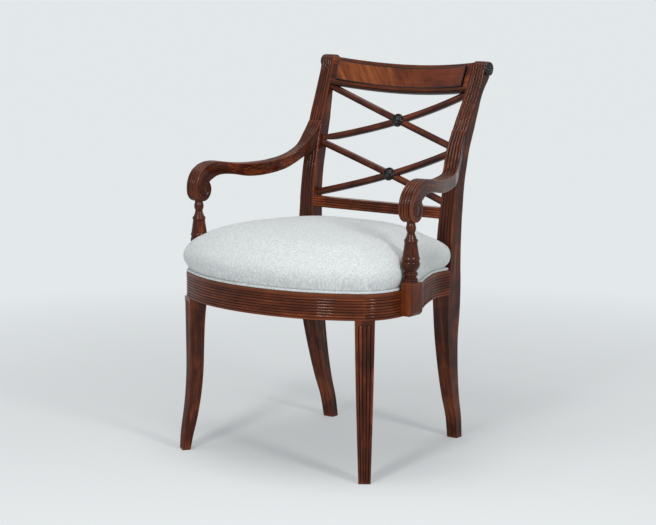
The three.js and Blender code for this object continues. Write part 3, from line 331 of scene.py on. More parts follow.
def newGroup(name, kind, inputs, outputs):
    tree = bpy.data.node_groups.new(name, kind)
    for socketName, socketType, value in inputs:
        socket = tree.interface.new_socket(socketName, in_out="INPUT", socket_type=socketType)
        if value is not None:
            socket.default_value = value
    for socketName, socketType in outputs:
        tree.interface.new_socket(socketName, in_out="OUTPUT", socket_type=socketType)
    return tree, tree.nodes.new("NodeGroupInput").outputs, tree.nodes.new("NodeGroupOutput").inputs


# Finishes

figure = {   # noise scales across, deep and along the grain, per metre
    "bands": (70, 55, 3.2), "streaks": (330, 260, 9), "ribbon": (24, 24, 16), "pores": (1500, 1200, 55),
    "rubbed": (40, 40, 18), "bandShare": 0.55, "streakShare": 0.45, "toneLow": 0.32, "toneHigh": 0.7,
    # pore darkening, then the painted shade laid into hollows
    "poreLow": 0.56, "poreHigh": 0.72, "poreDark": 0.45, "hollowShade": (0.006, 0.0025, 0.002, 1),
    "hollowShadeShare": 0.93,
}


def makeWoodGroup():   # grain runs along z of its vector; hollows get painted shade, arrises are worn and get a painted highlight
    tree, given, out = newGroup("woodFigure", "ShaderNodeTree", [
        ("Vector", "NodeSocketVector", None),
        ("Light", "NodeSocketColor", (0.25, 0.07, 0.02, 1)),
        ("Middle", "NodeSocketColor", (0.12, 0.03, 0.012, 1)),
        ("Dark", "NodeSocketColor", (0.03, 0.008, 0.005, 1)),
        ("Hollow", "NodeSocketFloat", 0.0),
        ("Arris", "NodeSocketFloat", 0.0),
        ("Wear", "NodeSocketFloat", 0.5),
        ("Figure", "NodeSocketFloat", 0.5),
        ("Sheen", "NodeSocketFloat", 0.25),
    ], [("Color", "NodeSocketColor"), ("Roughness", "NodeSocketFloat"), ("Height", "NodeSocketFloat")])
    vector = given["Vector"]
    bands = noiseOf(tree, scaled(tree, vector, figure["bands"]), 4, 0.6, 0.6)
    streaks = noiseOf(tree, scaled(tree, vector, figure["streaks"]), 3, 0.6, 0.3)
    ribbon = noiseOf(tree, scaled(tree, vector, figure["ribbon"]), 2, 0.5, 0.8)
    pores = noiseOf(tree, scaled(tree, vector, figure["pores"]), 2, 0.5)
    tone = timesPlus(tree, streaks, figure["streakShare"], times(tree, bands, figure["bandShare"]))
    ribbonPush = times(tree, minus(tree, ribbon, 0.5), given["Figure"])
    tone = remap(tree, plus(tree, tone, ribbonPush), figure["toneLow"], figure["toneHigh"])
    lower = mixColours(tree, remap(tree, tone, 0, 0.5), given["Dark"], given["Middle"])
    colour = mixColours(tree, remap(tree, tone, 0.5, 1), lower, given["Light"])
    poreDark = remap(tree, pores, figure["poreLow"], figure["poreHigh"], 0, figure["poreDark"])
    colour = mixColours(tree, poreDark, colour, given["Dark"])
    rubbed = noiseOf(tree, scaled(tree, vector, figure["rubbed"]), 2, 0.6)
    # arrises lighter: partly wear, partly a painted highlight on the reed crowns
    wornAndHighlit = times(tree, given["Arris"], times(tree, rubbed, given["Wear"]))
    colour = mixColours(tree, wornAndHighlit, colour, given["Light"])
    # painted shade: hollows and grooves darkened towards near black
    hollowShade = times(tree, given["Hollow"], figure["hollowShadeShare"])
    colour = mixColours(tree, hollowShade, colour, figure["hollowShade"])
    tree.links.new(colour, out["Color"])
    rough = timesPlus(tree, poreDark, 0.18, given["Sheen"])
    rough = timesPlus(tree, rubbed, 0.08, rough)
    tree.links.new(timesPlus(tree, given["Hollow"], 0.3, rough), out["Roughness"])
    relief = timesPlus(tree, streaks, 0.25, times(tree, poreDark, -0.8))
    tree.links.new(relief, out["Height"])
    return tree


weave = {   # scales are a thread each
    "threadStep": 7.31, "slubScale": 0.11, "mottleScale": 0.45,
    "mottle": 0.3, "slub": 0.6, "fleck": 0.5, "shadeLow": 0.38, "shadeHigh": 1.02,
}


def makeWeaveGroup():   # plain weave of slubbed threads on a cloth's own x and y, in metres
    tree, given, out = newGroup("wovenCloth", "ShaderNodeTree", [
        ("Vector", "NodeSocketVector", None),
        ("Pitch", "NodeSocketFloat", 0.0014),
        ("Light", "NodeSocketColor", (0.75, 0.76, 0.74, 1)),
        ("Dark", "NodeSocketColor", (0.5, 0.52, 0.51, 1)),
        ("Gap", "NodeSocketColor", (0.28, 0.29, 0.29, 1)),
    ], [("Color", "NodeSocketColor"), ("Roughness", "NodeSocketFloat"), ("Height", "NodeSocketFloat")])
    perMetre = doMath(tree, "DIVIDE", 1.0, given["Pitch"])
    place = addNode(tree, "ShaderNodeVectorMath", {"operation": "SCALE"}, _0=given["Vector"],
                    Scale=perMetre).outputs[0]
    axes = splitAxes(tree, place)
    across = [doMath(tree, "FLOOR", axis) for axis in axes[:2]]
    swell = [doMath(tree, "ABSOLUTE", doMath(tree, "SINE", times(tree, axis, math.pi)))
             for axis in axes[:2]]
    parity = doMath(tree, "MODULO", doMath(tree, "ABSOLUTE", plus(tree, *across)), 2)
    warp = times(tree, swell[0], timesPlus(tree, swell[1], 0.5, 0.5))
    weft = times(tree, swell[1], timesPlus(tree, swell[0], 0.5, 0.5))
    slubs = []
    for axis, along in ((0, 1), (1, 0)):
        row = joinAxes(tree, times(tree, across[axis], weave["threadStep"]),
                       times(tree, axes[along], weave["slubScale"]), 3.7 + 5 * axis)
        slubs.append(noiseOf(tree, row, 2, 0.6))
    isWeft = doMath(tree, "GREATER_THAN", parity, 0.5)
    keep = minus(tree, 1.0, isWeft)
    rise = plus(tree, times(tree, warp, keep), times(tree, weft, isWeft))
    slub = plus(tree, times(tree, slubs[0], keep), times(tree, slubs[1], isWeft))
    cell = joinAxes(tree, across[0], across[1], 0.5)
    fleck = addNode(tree, "ShaderNodeTexWhiteNoise", {"noise_dimensions": "2D"}, Vector=cell)
    mottle = noiseOf(tree, scaled(tree, place, (weave["mottleScale"], weave["mottleScale"], 1)), 2, 0.7)
    shade = timesPlus(tree, mottle, weave["mottle"], times(tree, slub, weave["slub"]))
    shade = timesPlus(tree, fleck.outputs["Value"], weave["fleck"], shade)
    shade = remap(tree, shade, weave["shadeLow"], weave["shadeHigh"])
    colour = mixColours(tree, shade, given["Dark"], given["Light"])
    colour = mixColours(tree, remap(tree, rise, 0.05, 0.5), given["Gap"], colour)
    tree.links.new(colour, out["Color"])
    tree.links.new(remap(tree, rise, 0, 1, 0.95, 0.8), out["Roughness"])
    tree.links.new(timesPlus(tree, slub, 0.4, rise), out["Height"])
    return tree


woodGroup = makeWoodGroup()
weaveGroup = makeWeaveGroup()


def newMaterial(name, group, vectorFrom, groupInputs, bump, **surface):
    material = bpy.data.materials.new(name)
    tree = clearedTree(material)
    shader = addNode(tree, "ShaderNodeBsdfPrincipled", **surface)
    addNode(tree, "ShaderNodeOutputMaterial", Surface=shader.outputs[0])
    if vectorFrom == "Object":
        vector = addNode(tree, "ShaderNodeTexCoord").outputs["Object"]
    else:
        vector = markOf(tree, vectorFrom, "Vector")
    finish = addNode(tree, "ShaderNodeGroup", {"node_tree": group}, Vector=vector, **groupInputs)
    for mark in ("Hollow", "Arris"):
        if mark in finish.inputs and vectorFrom != "Object":
            tree.links.new(markOf(tree, mark.lower(), "Fac"), finish.inputs[mark])
    tree.links.new(finish.outputs["Color"], shader.inputs["Base Color"])
    tree.links.new(finish.outputs["Roughness"], shader.inputs["Roughness"])
    lift = addNode(tree, "ShaderNodeBump", Height=finish.outputs["Height"], Strength=bump[0],
                   Distance=bump[1])
    tree.links.new(lift.outputs[0], shader.inputs["Normal"])
    return material, tree, finish, shader


polish = {"Coat Weight": 0.27, "Coat Roughness": 0.05, "Specular IOR Level": 0.05}
mahogany = newMaterial("mahogany", woodGroup, "grain", {
    "Light": (0.25, 0.06, 0.0165, 1), "Middle": (0.073, 0.015, 0.0055, 1),
    "Dark": (0.015, 0.004, 0.0025, 1), "Wear": 1.0, "Figure": 0.4, "Sheen": 0.2,
}, (0.3, 0.0003), **polish)[0]
ebonised = newMaterial("ebonisedWood", woodGroup, "grain", {
    "Light": (0.016, 0.014, 0.013, 1), "Middle": (0.007, 0.0068, 0.0068, 1),
    "Dark": (0.0035, 0.0035, 0.0035, 1), "Wear": 0.8, "Figure": 0.2, "Sheen": 0.12,
}, (0.3, 0.0002), **{"Coat Weight": 0.45, "Coat Roughness": 0.05, "Specular IOR Level": 0.1})[0]
beech = newMaterial("beech", woodGroup, "Object", {
    "Light": (0.58, 0.4, 0.21, 1), "Middle": (0.48, 0.3, 0.145, 1), "Dark": (0.3, 0.17, 0.08, 1),
    "Wear": 0.2, "Figure": 0.1, "Sheen": 0.55,
}, (0.5, 0.0003))[0]
plywood = newMaterial("plywood", woodGroup, "Object", {
    "Light": (0.6, 0.45, 0.26, 1), "Middle": (0.5, 0.35, 0.18, 1), "Dark": (0.36, 0.22, 0.1, 1),
    "Wear": 0.1, "Figure": 0.3, "Sheen": 0.6,
}, (0.5, 0.0003))[0]
screwSteel = newMaterial("screwSteel", woodGroup, "Object", {
    "Light": (0.62, 0.61, 0.58, 1), "Middle": (0.5, 0.5, 0.48, 1), "Dark": (0.3, 0.3, 0.3, 1),
    "Wear": 0.3, "Figure": 0.6, "Sheen": 0.3,
}, (0.2, 0.0001), Metallic=1.0)[0]
seatFabric = newMaterial("seatFabric", weaveGroup, "cloth", {
    "Pitch": 0.0022, "Light": (0.84, 0.87, 0.86, 1), "Dark": (0.53, 0.56, 0.565, 1),
    "Gap": (0.52, 0.545, 0.55, 1),
}, (0.5, 0.0005), **{"Sheen Weight": 0.15, "Specular IOR Level": 0.2})[0]
foamMaterial = newMaterial("foam", weaveGroup, "cloth", {
    "Pitch": 0.0015, "Light": (0.82, 0.74, 0.5, 1), "Dark": (0.74, 0.65, 0.42, 1),
    "Gap": (0.6, 0.52, 0.33, 1),
}, (0.4, 0.0004))[0]
cambric = newMaterial("cambric", weaveGroup, "cloth", {
    "Pitch": 0.0012, "Light": (0.022, 0.022, 0.024, 1), "Dark": (0.012, 0.012, 0.013, 1),
    "Gap": (0.005, 0.005, 0.005, 1),
}, (0.4, 0.0003))[0]


flame = {
    "slant": 0.75, "strokesAcross": 48, "strokesUp": 9, "strokeLow": 0.4, "strokeHigh": 0.64,
    "brown": (0.085, 0.018, 0.0065, 1), "gold": (0.29, 0.083, 0.021, 1),
    "fadeTo": 0.34, "fadeFrom": 0.14, "fadeWander": 0.16,    # metres along the panel from its left end
    "wideScale": (9, 9, 14),
}


def makeFlameVeneer():   # crotch figure: a light left end, feathered strokes, a red-brown right end
    material, tree, finish, shader = newMaterial("flameVeneer", woodGroup, "grain", {
        "Light": (0.165, 0.034, 0.0105, 1), "Middle": (0.105, 0.0195, 0.007, 1),
        "Dark": (0.045, 0.0095, 0.0045, 1), "Wear": 0.2, "Figure": 0.9, "Sheen": 0.16,
    }, (0.25, 0.0002), **polish)
    vector = markOf(tree, "grain", "Vector")
    axes = splitAxes(tree, vector)
    slant = timesPlus(tree, axes[1], flame["slant"], axes[2])
    fan = joinAxes(tree, times(tree, slant, flame["strokesAcross"]),
                   times(tree, axes[1], flame["strokesUp"]))
    stroke = remap(tree, noiseOf(tree, fan, 5, 0.6, 1.1), flame["strokeLow"], flame["strokeHigh"])
    gold = mixColours(tree, stroke, flame["brown"], flame["gold"])
    wide = noiseOf(tree, scaled(tree, vector, flame["wideScale"]), 2, 0.5, 0.4)
    reach = timesPlus(tree, wide, flame["fadeWander"], axes[2])
    leftShare = remap(tree, reach, flame["fadeTo"], flame["fadeFrom"], 0.04, 0.85)
    colour = mixColours(tree, leftShare, finish.outputs["Color"], gold)
    tree.links.new(colour, shader.inputs["Base Color"])
    return material


flameVeneer = makeFlameVeneer()
print("finishes made")


# Reeded members: a skin between an outer line, which carries the reeds, and an inner line

reedShape = {"depth": 2.6, "steps": 8, "cornerSteps": 4, "lip": 1.2, "mostCut": 0.45}


def reedCut(share, count):   # depth cut away at a share of the width: half rounds side by side
    within = (share * count) % 1
    within = np.where((share >= 1) | (share <= 0), 0, within)
    return reedShape["depth"] * (1 - np.sqrt(np.clip(1 - (2 * within - 1) ** 2, 0, 1)))


def reededSkin(outer, inner, placeAt, reeds, cutAt=None, rounding=3.0, sideSteps=14, carve=None):
    # rings run over the reeds, down one flank, along the inner face and up the other flank
    outer, inner = np.array(outer), np.array(inner)
    way = np.gradient(outer, axis=0)
    way /= np.linalg.norm(way, axis=1)[:, None]
    normal = np.column_stack([way[:, 1], -way[:, 0]])
    if (normal[0] * (inner[0] - outer[0])).sum() < 0:
        normal = -normal
    shares = np.linspace(0, 1, reeds * reedShape["steps"] + 1)
    along = lengthAlong((outer + inner) / 2)
    chord = inner - outer
    reach = np.linalg.norm(chord, axis=1)
    bend = np.linspace(0, math.pi / 2, reedShape["cornerSteps"] + 1)[1:]
    points, grain = [], []
    for r in range(len(outer)):
        cut = cutAt(shares, r) if cutAt else reedCut(shares, reeds)
        cut = np.minimum(cut, reedShape["mostCut"] * reach[r])
        edge = cut[0]
        soft = min(rounding, 0.3 * reach[r]) if np.isscalar(rounding) else rounding[r]
        unit = chord[r] / max(reach[r], 1e-9)
        top = [(share, outer[r] + normal[r] * c, 0.0, c) for share, c in zip(shares, cut)]
        start = min(edge + reedShape["lip"], 0.5 * reach[r])
        stop = max(reach[r] - soft, 0.55 * reach[r])
        down = [(start + (stop - start) * k / (sideSteps - 1)) for k in range(sideSteps)]
        flank = [(1, outer[r] + unit * d, 0.0, d) for d in down]
        corner = [(1, outer[r] + unit * (stop + (reach[r] - stop) * math.sin(a)),
                   -soft * (1 - math.cos(a)), stop) for a in bend]
        right = flank + corner
        left = [(0, place, -inset, depth) for _, place, inset, depth in reversed(right)]
        belly = [(share, inner[r], 0.0, reach[r]) for share in (0.75, 0.5, 0.25)]
        ring = top + right + belly + left
        share = np.array([p[0] for p in ring])
        place = np.array([p[1] for p in ring])
        inset = np.array([p[2] for p in ring])
        if carve:
            isFlank = np.array([False] * len(top) + [True] * len(right) + [False] * len(belly)
                               + [True] * len(left))
            inset = inset + np.where(isFlank, np.where(share > 0.5, -1, 1) * carve(place), 0)
        spots = placeAt(share, place[:, 0], place[:, 1])
        spots[:, 0] += inset
        points.append(spots)
        depth = np.array([p[3] for p in ring])
        grain.append(np.column_stack([spots[:, 0], depth, np.full(len(ring), along[r])]))
    return np.vstack(points), skinFaces(len(points), len(points[0])), np.vstack(grain)


# Back posts

post = {
    "top": 870, "railTop": 406.5, "railBottom": 350, "reeds": 5, "reedStart": 448.5, "reedRun": 5,
    "jointDepth": (5.2, 8), "jointEnd": 37.4, "nearOuter": 0.6, "jointDark": 0.75, "rounding": 3.2,
    "scrollRadius": 17, "scrollY": 129, "scrollZ": 853,
    "scrollFrom": 172, "scrollTuck": -50,    # degrees round the scroll
    "legFront": [(0, 70), (50.8, 60.9), (101.6, 42.7), (152.4, 28), (203, 16.1), (254, 6.3),
                 (305, 0), (345.5, -3.2), (406.5, 0)],
    "backFront": [(406.5, 0), (470, 3.5), (520, 8), (570, 14), (610, 20.5), (650, 29.5), (673, 34.8),
                  (695, 42), (717, 49.9), (741, 60.5), (760, 70.4), (780, 80.6), (800, 90.2),
                  (820, 99.2), (840, 107), (870, 116.2)],
    "legWidth": [(0, 27), (150.4, 33.9), (284.5, 41), (341.5, 43.5), (406.5, 43.5)],
    "backWidth": [(406.5, 43.5), (489.9, 42.5), (550, 39.5), (610.4, 38), (674, 37.2), (741, 37),
                  (801, 36.3), (840, 34.6), (870, 33.5)],
    "backInner": [(406.5, 172), (520, 176.7), (544, 178.6), (610, 180), (674, 181.4), (717, 184),
                  (760, 187.5), (801, 191), (840, 194), (870, 195.5)],
    "footInner": 165,
    "legDepth": [(0, 23.9), (61, 24.8), (122, 29.9), (183, 35), (244, 40.5), (301, 48.3),
                 (341.5, 50.6), (378, 48.8), (406.5, 45.1)],
    "backDepth": [(406.5, 45.1), (470, 39.6), (540, 36.8), (600, 35.9), (650, 36.8), (717, 36.8),
                  (741, 32.7), (761, 28.3), (783, 23), (796, 21.6), (810, 22.4), (827, 28.5), (838, 30.5)],
}


def legThenBack(legRows, backRows):   # one smooth rule up to the rail's top and one above it
    legTable, backTable = smoothTable(legRows), smoothTable(backRows)

    def at(z):
        z = np.asarray(z, float)
        return np.where(z < post["railTop"], legTable(z), backTable(z))
    return at


postFront = legThenBack(post["legFront"], post["backFront"])
postInner = legThenBack([(0, post["footInner"]), post["backInner"][0]], post["backInner"])
postWidth = legThenBack(post["legWidth"], post["backWidth"])
postDepth = legThenBack(post["legDepth"], post["backDepth"])


def postPlace(share, y, z):
    return np.column_stack([postInner(z) + share * postWidth(z), y, z])


def onScroll(sizes, degrees):   # a point on the scroll of a post or an arm
    angle = math.radians(degrees)
    return (sizes["scrollY"] + sizes["scrollRadius"] * math.cos(angle),
            sizes["scrollZ"] + sizes["scrollRadius"] * math.sin(angle))


def postLines():   # rows are closer where the reeds start
    heights = np.concatenate([np.linspace(0, 440, 56), np.linspace(444, 456, 9), np.linspace(462, 836, 75)])
    outer = [(float(postFront(z)), z) for z in heights]
    inner = [(float(postFront(z) + postDepth(z)), z) for z in heights]
    tuck = onScroll(post, post["scrollTuck"])
    for degrees in range(post["scrollFrom"], post["scrollTuck"] + 6, -6):
        outer.append(onScroll(post, degrees))
        inner.append(tuck)
    outer[len(heights)] = tuple(np.mean([outer[len(heights) - 1], outer[len(heights) + 1]], axis=0))
    return np.array(outer), np.array(inner), len(heights)


def postCut(heights):
    strength = np.clip((heights - post["reedStart"]) / post["reedRun"], 0, 1)

    def cutAt(shares, r):
        plain = 0.5 * (2 * shares - 1) ** 2
        return plain + strength[r] * np.maximum(reedCut(shares, post["reeds"]) - plain, 0)
    return cutAt


def makePost(side, suffix):
    outer, inner, shaftRows = postLines()
    heights = np.where(np.arange(len(outer)) < shaftRows, outer[:, 1], post["top"])
    rounding = np.interp(np.arange(len(outer)), [0, shaftRows - 12, shaftRows],
                         [post["rounding"], post["rounding"], 0.05])
    skin = reededSkin(outer, inner, postPlace, post["reeds"], postCut(heights), rounding)
    piece = finishWood(addPiece("backPost" + suffix, *skin, side), "back_post_" + suffix.lower())
    points = pointsOf(piece)
    heights = points[:, 2] / mm
    isOuter = np.abs(points[:, 0]) / mm > postInner(heights) + postWidth(heights) - post["nearOuter"]
    depth = readGrain(piece)[:, 1] / mm
    low, high = post["jointDepth"]
    isJoint = isOuter & (depth > low) & (depth < high) & (heights > post["reedStart"])
    darken(piece, isJoint & (heights < post["top"] - post["jointEnd"]), post["jointDark"])


onBothSides(makePost)
print("back posts made")


# Turned bosses: a raised rim round a dome with a swirl of lobes

boss = {
    "rings": 26, "sides": 90, "rimShare": 0.8, "rimRise": 1.9, "rimDrop": 0.12,
    "dome": 0.98, "domeDrop": 0.42,
    "lobes": 5, "twist": 2.3, "lobeRise": 2.2, "grooveFrom": 0.86, "grooveDepth": 1.2, "foot": 0.5,
}


def bossRise(share, angle, height):
    if share >= boss["rimShare"]:
        across = (share - boss["rimShare"]) / (1 - boss["rimShare"])
        rise = height * (boss["domeDrop"] - boss["rimDrop"] * across)
        return rise + boss["rimRise"] * math.sqrt(max(0, 1 - (2 * across - 1) ** 2))
    inside = share / boss["rimShare"]
    dome = height * (boss["dome"] - boss["domeDrop"] * inside ** 2.2)
    wave = abs(math.cos(boss["lobes"] / 2 * (angle - boss["twist"] * inside)))
    rise = dome - boss["lobeRise"] * (1 - wave) * min(1, 3 * inside) * (1 - 0.2 * inside)
    return rise - boss["grooveDepth"] * max(0, (inside - boss["grooveFrom"]) / (1 - boss["grooveFrom"]))


def bossPoints(radius, height):
    count = boss["sides"]
    angles = [2 * math.pi * i / count for i in range(count)]
    points = [(0, 0, height)]
    for k in range(1, boss["rings"] + 1):
        share = k / boss["rings"]
        reach = radius * share
        points += [(reach * math.cos(a), reach * math.sin(a), bossRise(share, a, height)) for a in angles]
    for reach, foot in ((radius, boss["foot"]), (radius * 0.98, 0)):
        points += [(reach * math.cos(a), reach * math.sin(a), foot) for a in angles]
    faces = [(0, 1 + i, 1 + (i + 1) % count) for i in range(count)]
    last = 1 + (boss["rings"] + 1) * count
    for near in range(1, last, count):
        faces += [(near + i, near + count + i, near + count + (i + 1) % count, near + (i + 1) % count)
                  for i in range(count)]
    faces.append(tuple(range(last, last + count)))
    return np.array(points), faces


def addBoss(name, radius, height, place, facing, node, side=1):
    points, faces = bossPoints(radius, height)
    turned = points @ np.array(Vector(facing).normalized().to_track_quat("Z", "Y").to_matrix()).T
    piece = addPiece(name, turned + np.array(place), faces, points, side)
    tidyMesh(piece, 60)
    finishPiece(piece, ebonised, "ebonised_wood", node)


roundel = {"radius": 16.2, "height": 7, "proud": 0.3}


def makeRoundel(side, suffix):
    z = post["scrollZ"]
    outside = float(postInner(z) + postWidth(z)) + roundel["proud"]
    addBoss("roundel" + suffix, roundel["radius"], roundel["height"], (outside, post["scrollY"], z),
            (1, 0, 0), "roundel_" + suffix.lower(), side)


onBothSides(makeRoundel)


# Crest rail: leans with the posts, bows backwards and down between them

crest = {
    "top": 868, "height": 69, "thickness": 17, "bow": 24, "dip": 14, "bead": 2.4, "round": 4,
    "panelLow": 14, "panelHigh": 58, "panelMargin": 17, "stringing": 2.1, "recess": 1.8, "into": 1.5,
    "gap": 0.1, "proud": 0.12, "panelRows": 61, "endRows": 5, "figureStart": 178, "beadDark": 0.85,
}
crestLean = math.atan2(float(postFront(crest["top"]) - postFront(crest["top"] - crest["height"])),
                       crest["height"])
crestBottom = crest["top"] - crest["height"] * math.cos(crestLean)
crestUp = np.array([0, math.sin(crestLean), math.cos(crestLean)])
crestBack = np.array([0, math.cos(crestLean), -math.sin(crestLean)])


def crestPoint(share, up, behind, margin):
    bow = 1 - share * share
    dipped = crestBottom - crest["dip"] * bow
    point = np.array([0, float(postFront(crestBottom)) + crest["bow"] * bow, dipped])
    point = point + crestUp * up + crestBack * behind
    point[0] = share * (float(postInner(point[2] + crest["dip"] * bow)) - margin)
    return point


def crestSkin(outline, shares, margin):
    rings = [[crestPoint(share, up, behind, margin) for up, behind in outline] for share in shares]
    grain = [[(p[1] * 0.2, up, p[0]) for p, (up, _) in zip(ring, outline)] for ring in rings]
    return (np.array(rings).reshape(-1, 3), skinFaces(len(shares), len(outline)),
            np.array(grain).reshape(-1, 3))


def quarter(centre, radius, start, stop, steps=4):
    angles = np.radians(np.linspace(start, stop, steps))
    return [(centre[0] + radius * math.cos(a), centre[1] - radius * math.sin(a)) for a in angles]


def crestOutline(isCut):   # up the front and down the back, with the recess for the panel
    low = crest["panelLow"] - crest["stringing"] - crest["gap"]
    high = crest["panelHigh"] + crest["stringing"] + crest["gap"]
    depth = crest["recess"] if isCut else 0
    bead, rounded = crest["bead"], crest["round"]
    height, thick = crest["height"], crest["thickness"]
    outline = quarter((bead, bead), bead, 180, 0, 9)
    outline += [(2 * bead + 0.3, 0.9), (2 * bead + 1.2, 0.15), (2 * bead + 2.5, 0)]
    outline += [(low, 0), (low, depth), (high, depth), (high, 0)]
    outline += quarter((height - rounded, rounded), rounded, 90, 0, 6)
    outline += quarter((height - rounded, thick - rounded), rounded, 0, -90, 6)
    outline += quarter((3, thick - 3), 3, -90, -180, 5)
    return outline


def makeCrest():
    half = float(postInner(crestBottom + crest["height"] / 2))
    recessEnd = 1 - (crest["panelMargin"] - crest["stringing"] - crest["gap"]) / half
    end, middle = crest["endRows"], crest["panelRows"]
    shares = np.concatenate([np.linspace(-1, -recessEnd, end), np.linspace(-recessEnd, recessEnd, middle),
                             np.linspace(recessEnd, 1, end)])
    points, grain = [], []
    for k, share in enumerate(shares):
        for up, behind in crestOutline(end <= k < end + middle):
            points.append(crestPoint(share, up, behind, -crest["into"]))
            grain.append((behind, up, points[-1][0]))
    piece = addPiece("crestRail", points, skinFaces(len(shares), len(crestOutline(True))), grain)
    finishWood(piece, "crest_rail")
    # painted shade along the crest's lower bead
    darken(piece, readGrain(piece)[:, 1] < (2 * crest["bead"] + 1) * mm, crest["beadDark"])


def plateOutline(low, high, front, soft=0.25):
    back = crest["recess"] - crest["gap"]
    return [(low, front + soft), (low + soft, front), (high - soft, front), (high, front + soft),
            (high, back), (low, back)]


def makeInlay():
    low, high, wide, gap = (crest[name] for name in ("panelLow", "panelHigh", "stringing", "gap"))
    shares = np.linspace(-1, 1, crest["panelRows"])
    skin = crestSkin(plateOutline(low + gap, high - gap, 0.0), shares, crest["panelMargin"] + gap)
    veneer = addPiece("crestPanel", *skin[:2], skin[2] + (0, 0, crest["figureStart"]))
    tidyMesh(veneer)
    finishPiece(veneer, flameVeneer, "flame_mahogany", "crest_panel")
    margin, front = crest["panelMargin"] - wide, -crest["proud"]
    half = float(postInner(crestBottom + crest["height"] / 2)) - margin
    parts = [crestSkin(plateOutline(*edges, front), shares, margin)
             for edges in ((low - wide, low), (high, high + wide))]
    upright = plateOutline(low - 0.05, high + 0.05, front, 0.05)
    parts += [crestSkin(upright, end * np.linspace(1 - wide / half, 1, 3), margin) for end in (-1, 1)]
    stringing = addPiece("crestStringing", *joinParts(parts))
    tidyMesh(stringing)
    finishPiece(stringing, ebonised, "ebonised_wood", "crest_stringing")


makeCrest()
makeInlay()
print("crest made")


# Rails: a section with a rule for its reeds, swept along the seat's edge

def finishSweep(tree, given, out, section, **settings):   # the section swept along the given line
    path = addNode(tree, "GeometryNodeMeshToCurve", _0=given["Geometry"])
    upright = addNode(tree, "GeometryNodeSetCurveNormal", {"mode": "Z_UP"}, Curve=path.outputs[0])
    swept = addNode(tree, "GeometryNodeCurveToMesh", Curve=upright.outputs[0],
                    **{"Profile Curve": section.outputs[0]}, **settings)
    solid = addNode(tree, "GeometryNodeRealizeInstances", Geometry=swept.outputs[0])
    finished = addNode(tree, "GeometryNodeSetMaterial", Geometry=solid.outputs[0],
                       Material=given["Material"])
    tree.links.new(finished.outputs[0], out["Geometry"])
    return tree


def newRailTree():   # half rounds side by side as instances, between plain bands and a plain back
    lengths = ["Pitch", "Reed Depth", "Top Band", "Bottom Band", "Thickness", "Chamfer"]
    inputs = [("Geometry", "NodeSocketGeometry", None), ("Reeds", "NodeSocketInt", 7)]
    inputs += [(name, "NodeSocketFloat", 0.005) for name in lengths]
    inputs += [("Reed Steps", "NodeSocketInt", 8), ("Material", "NodeSocketMaterial", None)]
    outputs = [("Geometry", "NodeSocketGeometry")]
    tree, given, out = newGroup("reededRail", "GeometryNodeTree", inputs, outputs)
    half = times(tree, given["Pitch"], 0.5)
    arc = addNode(tree, "GeometryNodeCurveArc", Resolution=given["Reed Steps"], Radius=half,
                  **{"Start Angle": -math.pi / 2, "Sweep Angle": math.pi})
    cusp = times(tree, given["Reed Depth"], -1.0)
    firstReed = times(tree, plus(tree, given["Bottom Band"], half), -1.0)
    start = joinAxes(tree, cusp, firstReed)
    step = joinAxes(tree, 0.0, times(tree, given["Pitch"], -1.0))
    places = addNode(tree, "GeometryNodeMeshLine", {"mode": "OFFSET"}, Count=given["Reeds"], Offset=step,
                     **{"Start Location": start})
    flatten = joinAxes(tree, doMath(tree, "DIVIDE", given["Reed Depth"], half), 1.0, 1.0)
    reeds = addNode(tree, "GeometryNodeInstanceOnPoints", Points=places.outputs[0], Instance=arc.outputs[0],
                    Scale=flatten)
    low = times(tree, given["Bottom Band"], -1.0)
    high = minus(tree, low, times(tree, given["Pitch"], given["Reeds"]))
    top = minus(tree, high, given["Top Band"])
    back = times(tree, given["Thickness"], -1.0)
    chamfer = times(tree, given["Chamfer"], -1.0)
    corners = [(cusp, low), (0.0, low), (0.0, chamfer), (chamfer, 0.0), (back, 0.0), (back, top),
               (chamfer, top), (0.0, minus(tree, top, chamfer)), (0.0, high), (cusp, high)]
    spots = [joinAxes(tree, x, y) for x, y in corners]
    joined = addNode(tree, "GeometryNodeJoinGeometry")
    tree.links.new(addNode(tree, "GeometryNodeRealizeInstances", Geometry=reeds.outputs[0]).outputs[0],
                   joined.inputs[0])
    for near, far in zip(spots, spots[1:]):
        edge = addNode(tree, "GeometryNodeCurvePrimitiveLine", Start=near, End=far)
        tree.links.new(edge.outputs[0], joined.inputs[0])
    wire = addNode(tree, "GeometryNodeCurveToMesh", Curve=joined.outputs[0])
    welded = addNode(tree, "GeometryNodeMergeByDistance", Geometry=wire.outputs[0], Distance=0.00001)
    section = addNode(tree, "GeometryNodeMeshToCurve", _0=welded.outputs[0])
    return finishSweep(tree, given, out, section, **{"Fill Caps": True})


def grown(name, path, tree, isLoop=False, **values):   # a plain mesh from a line and a tree
    edges = [(i, i + 1) for i in range(len(path) - 1)] + ([(len(path) - 1, 0)] if isLoop else [])
    mesh = bpy.data.meshes.new(name + "Line")
    mesh.from_pydata(inFrame(path).tolist(), edges, [])
    line = addObject(name + "Line", mesh)
    modifier = line.modifiers.new("grown", "NODES")
    modifier.node_group = tree
    for socket in tree.interface.items_tree:
        if socket.in_out == "INPUT" and socket.name in values:
            modifier[socket.identifier] = values[socket.name]
    ready = line.evaluated_get(bpy.context.evaluated_depsgraph_get())
    result = bpy.data.meshes.new_from_object(ready)
    line.modifiers.clear()
    bpy.data.objects.remove(line)
    result.name = name
    return addObject(name, result)


def grainAlong(piece, path, chunk=4000):   # grain follows a line in plan
    points = pointsOf(piece)
    line = inFrame(path)
    along = lengthAlong(line)
    grain = np.empty((len(points), 3), np.float32)
    for start in range(0, len(points), chunk):
        part = points[start:start + chunk]
        apart = ((part[:, None, :2] - line[None, :, :2]) ** 2).sum(2)
        nearest = apart.argmin(1)
        grain[start:start + chunk] = np.column_stack([np.sqrt(apart.min(1)), part[:, 2], along[nearest]])
    storeValues(piece.data, "grain", grain)


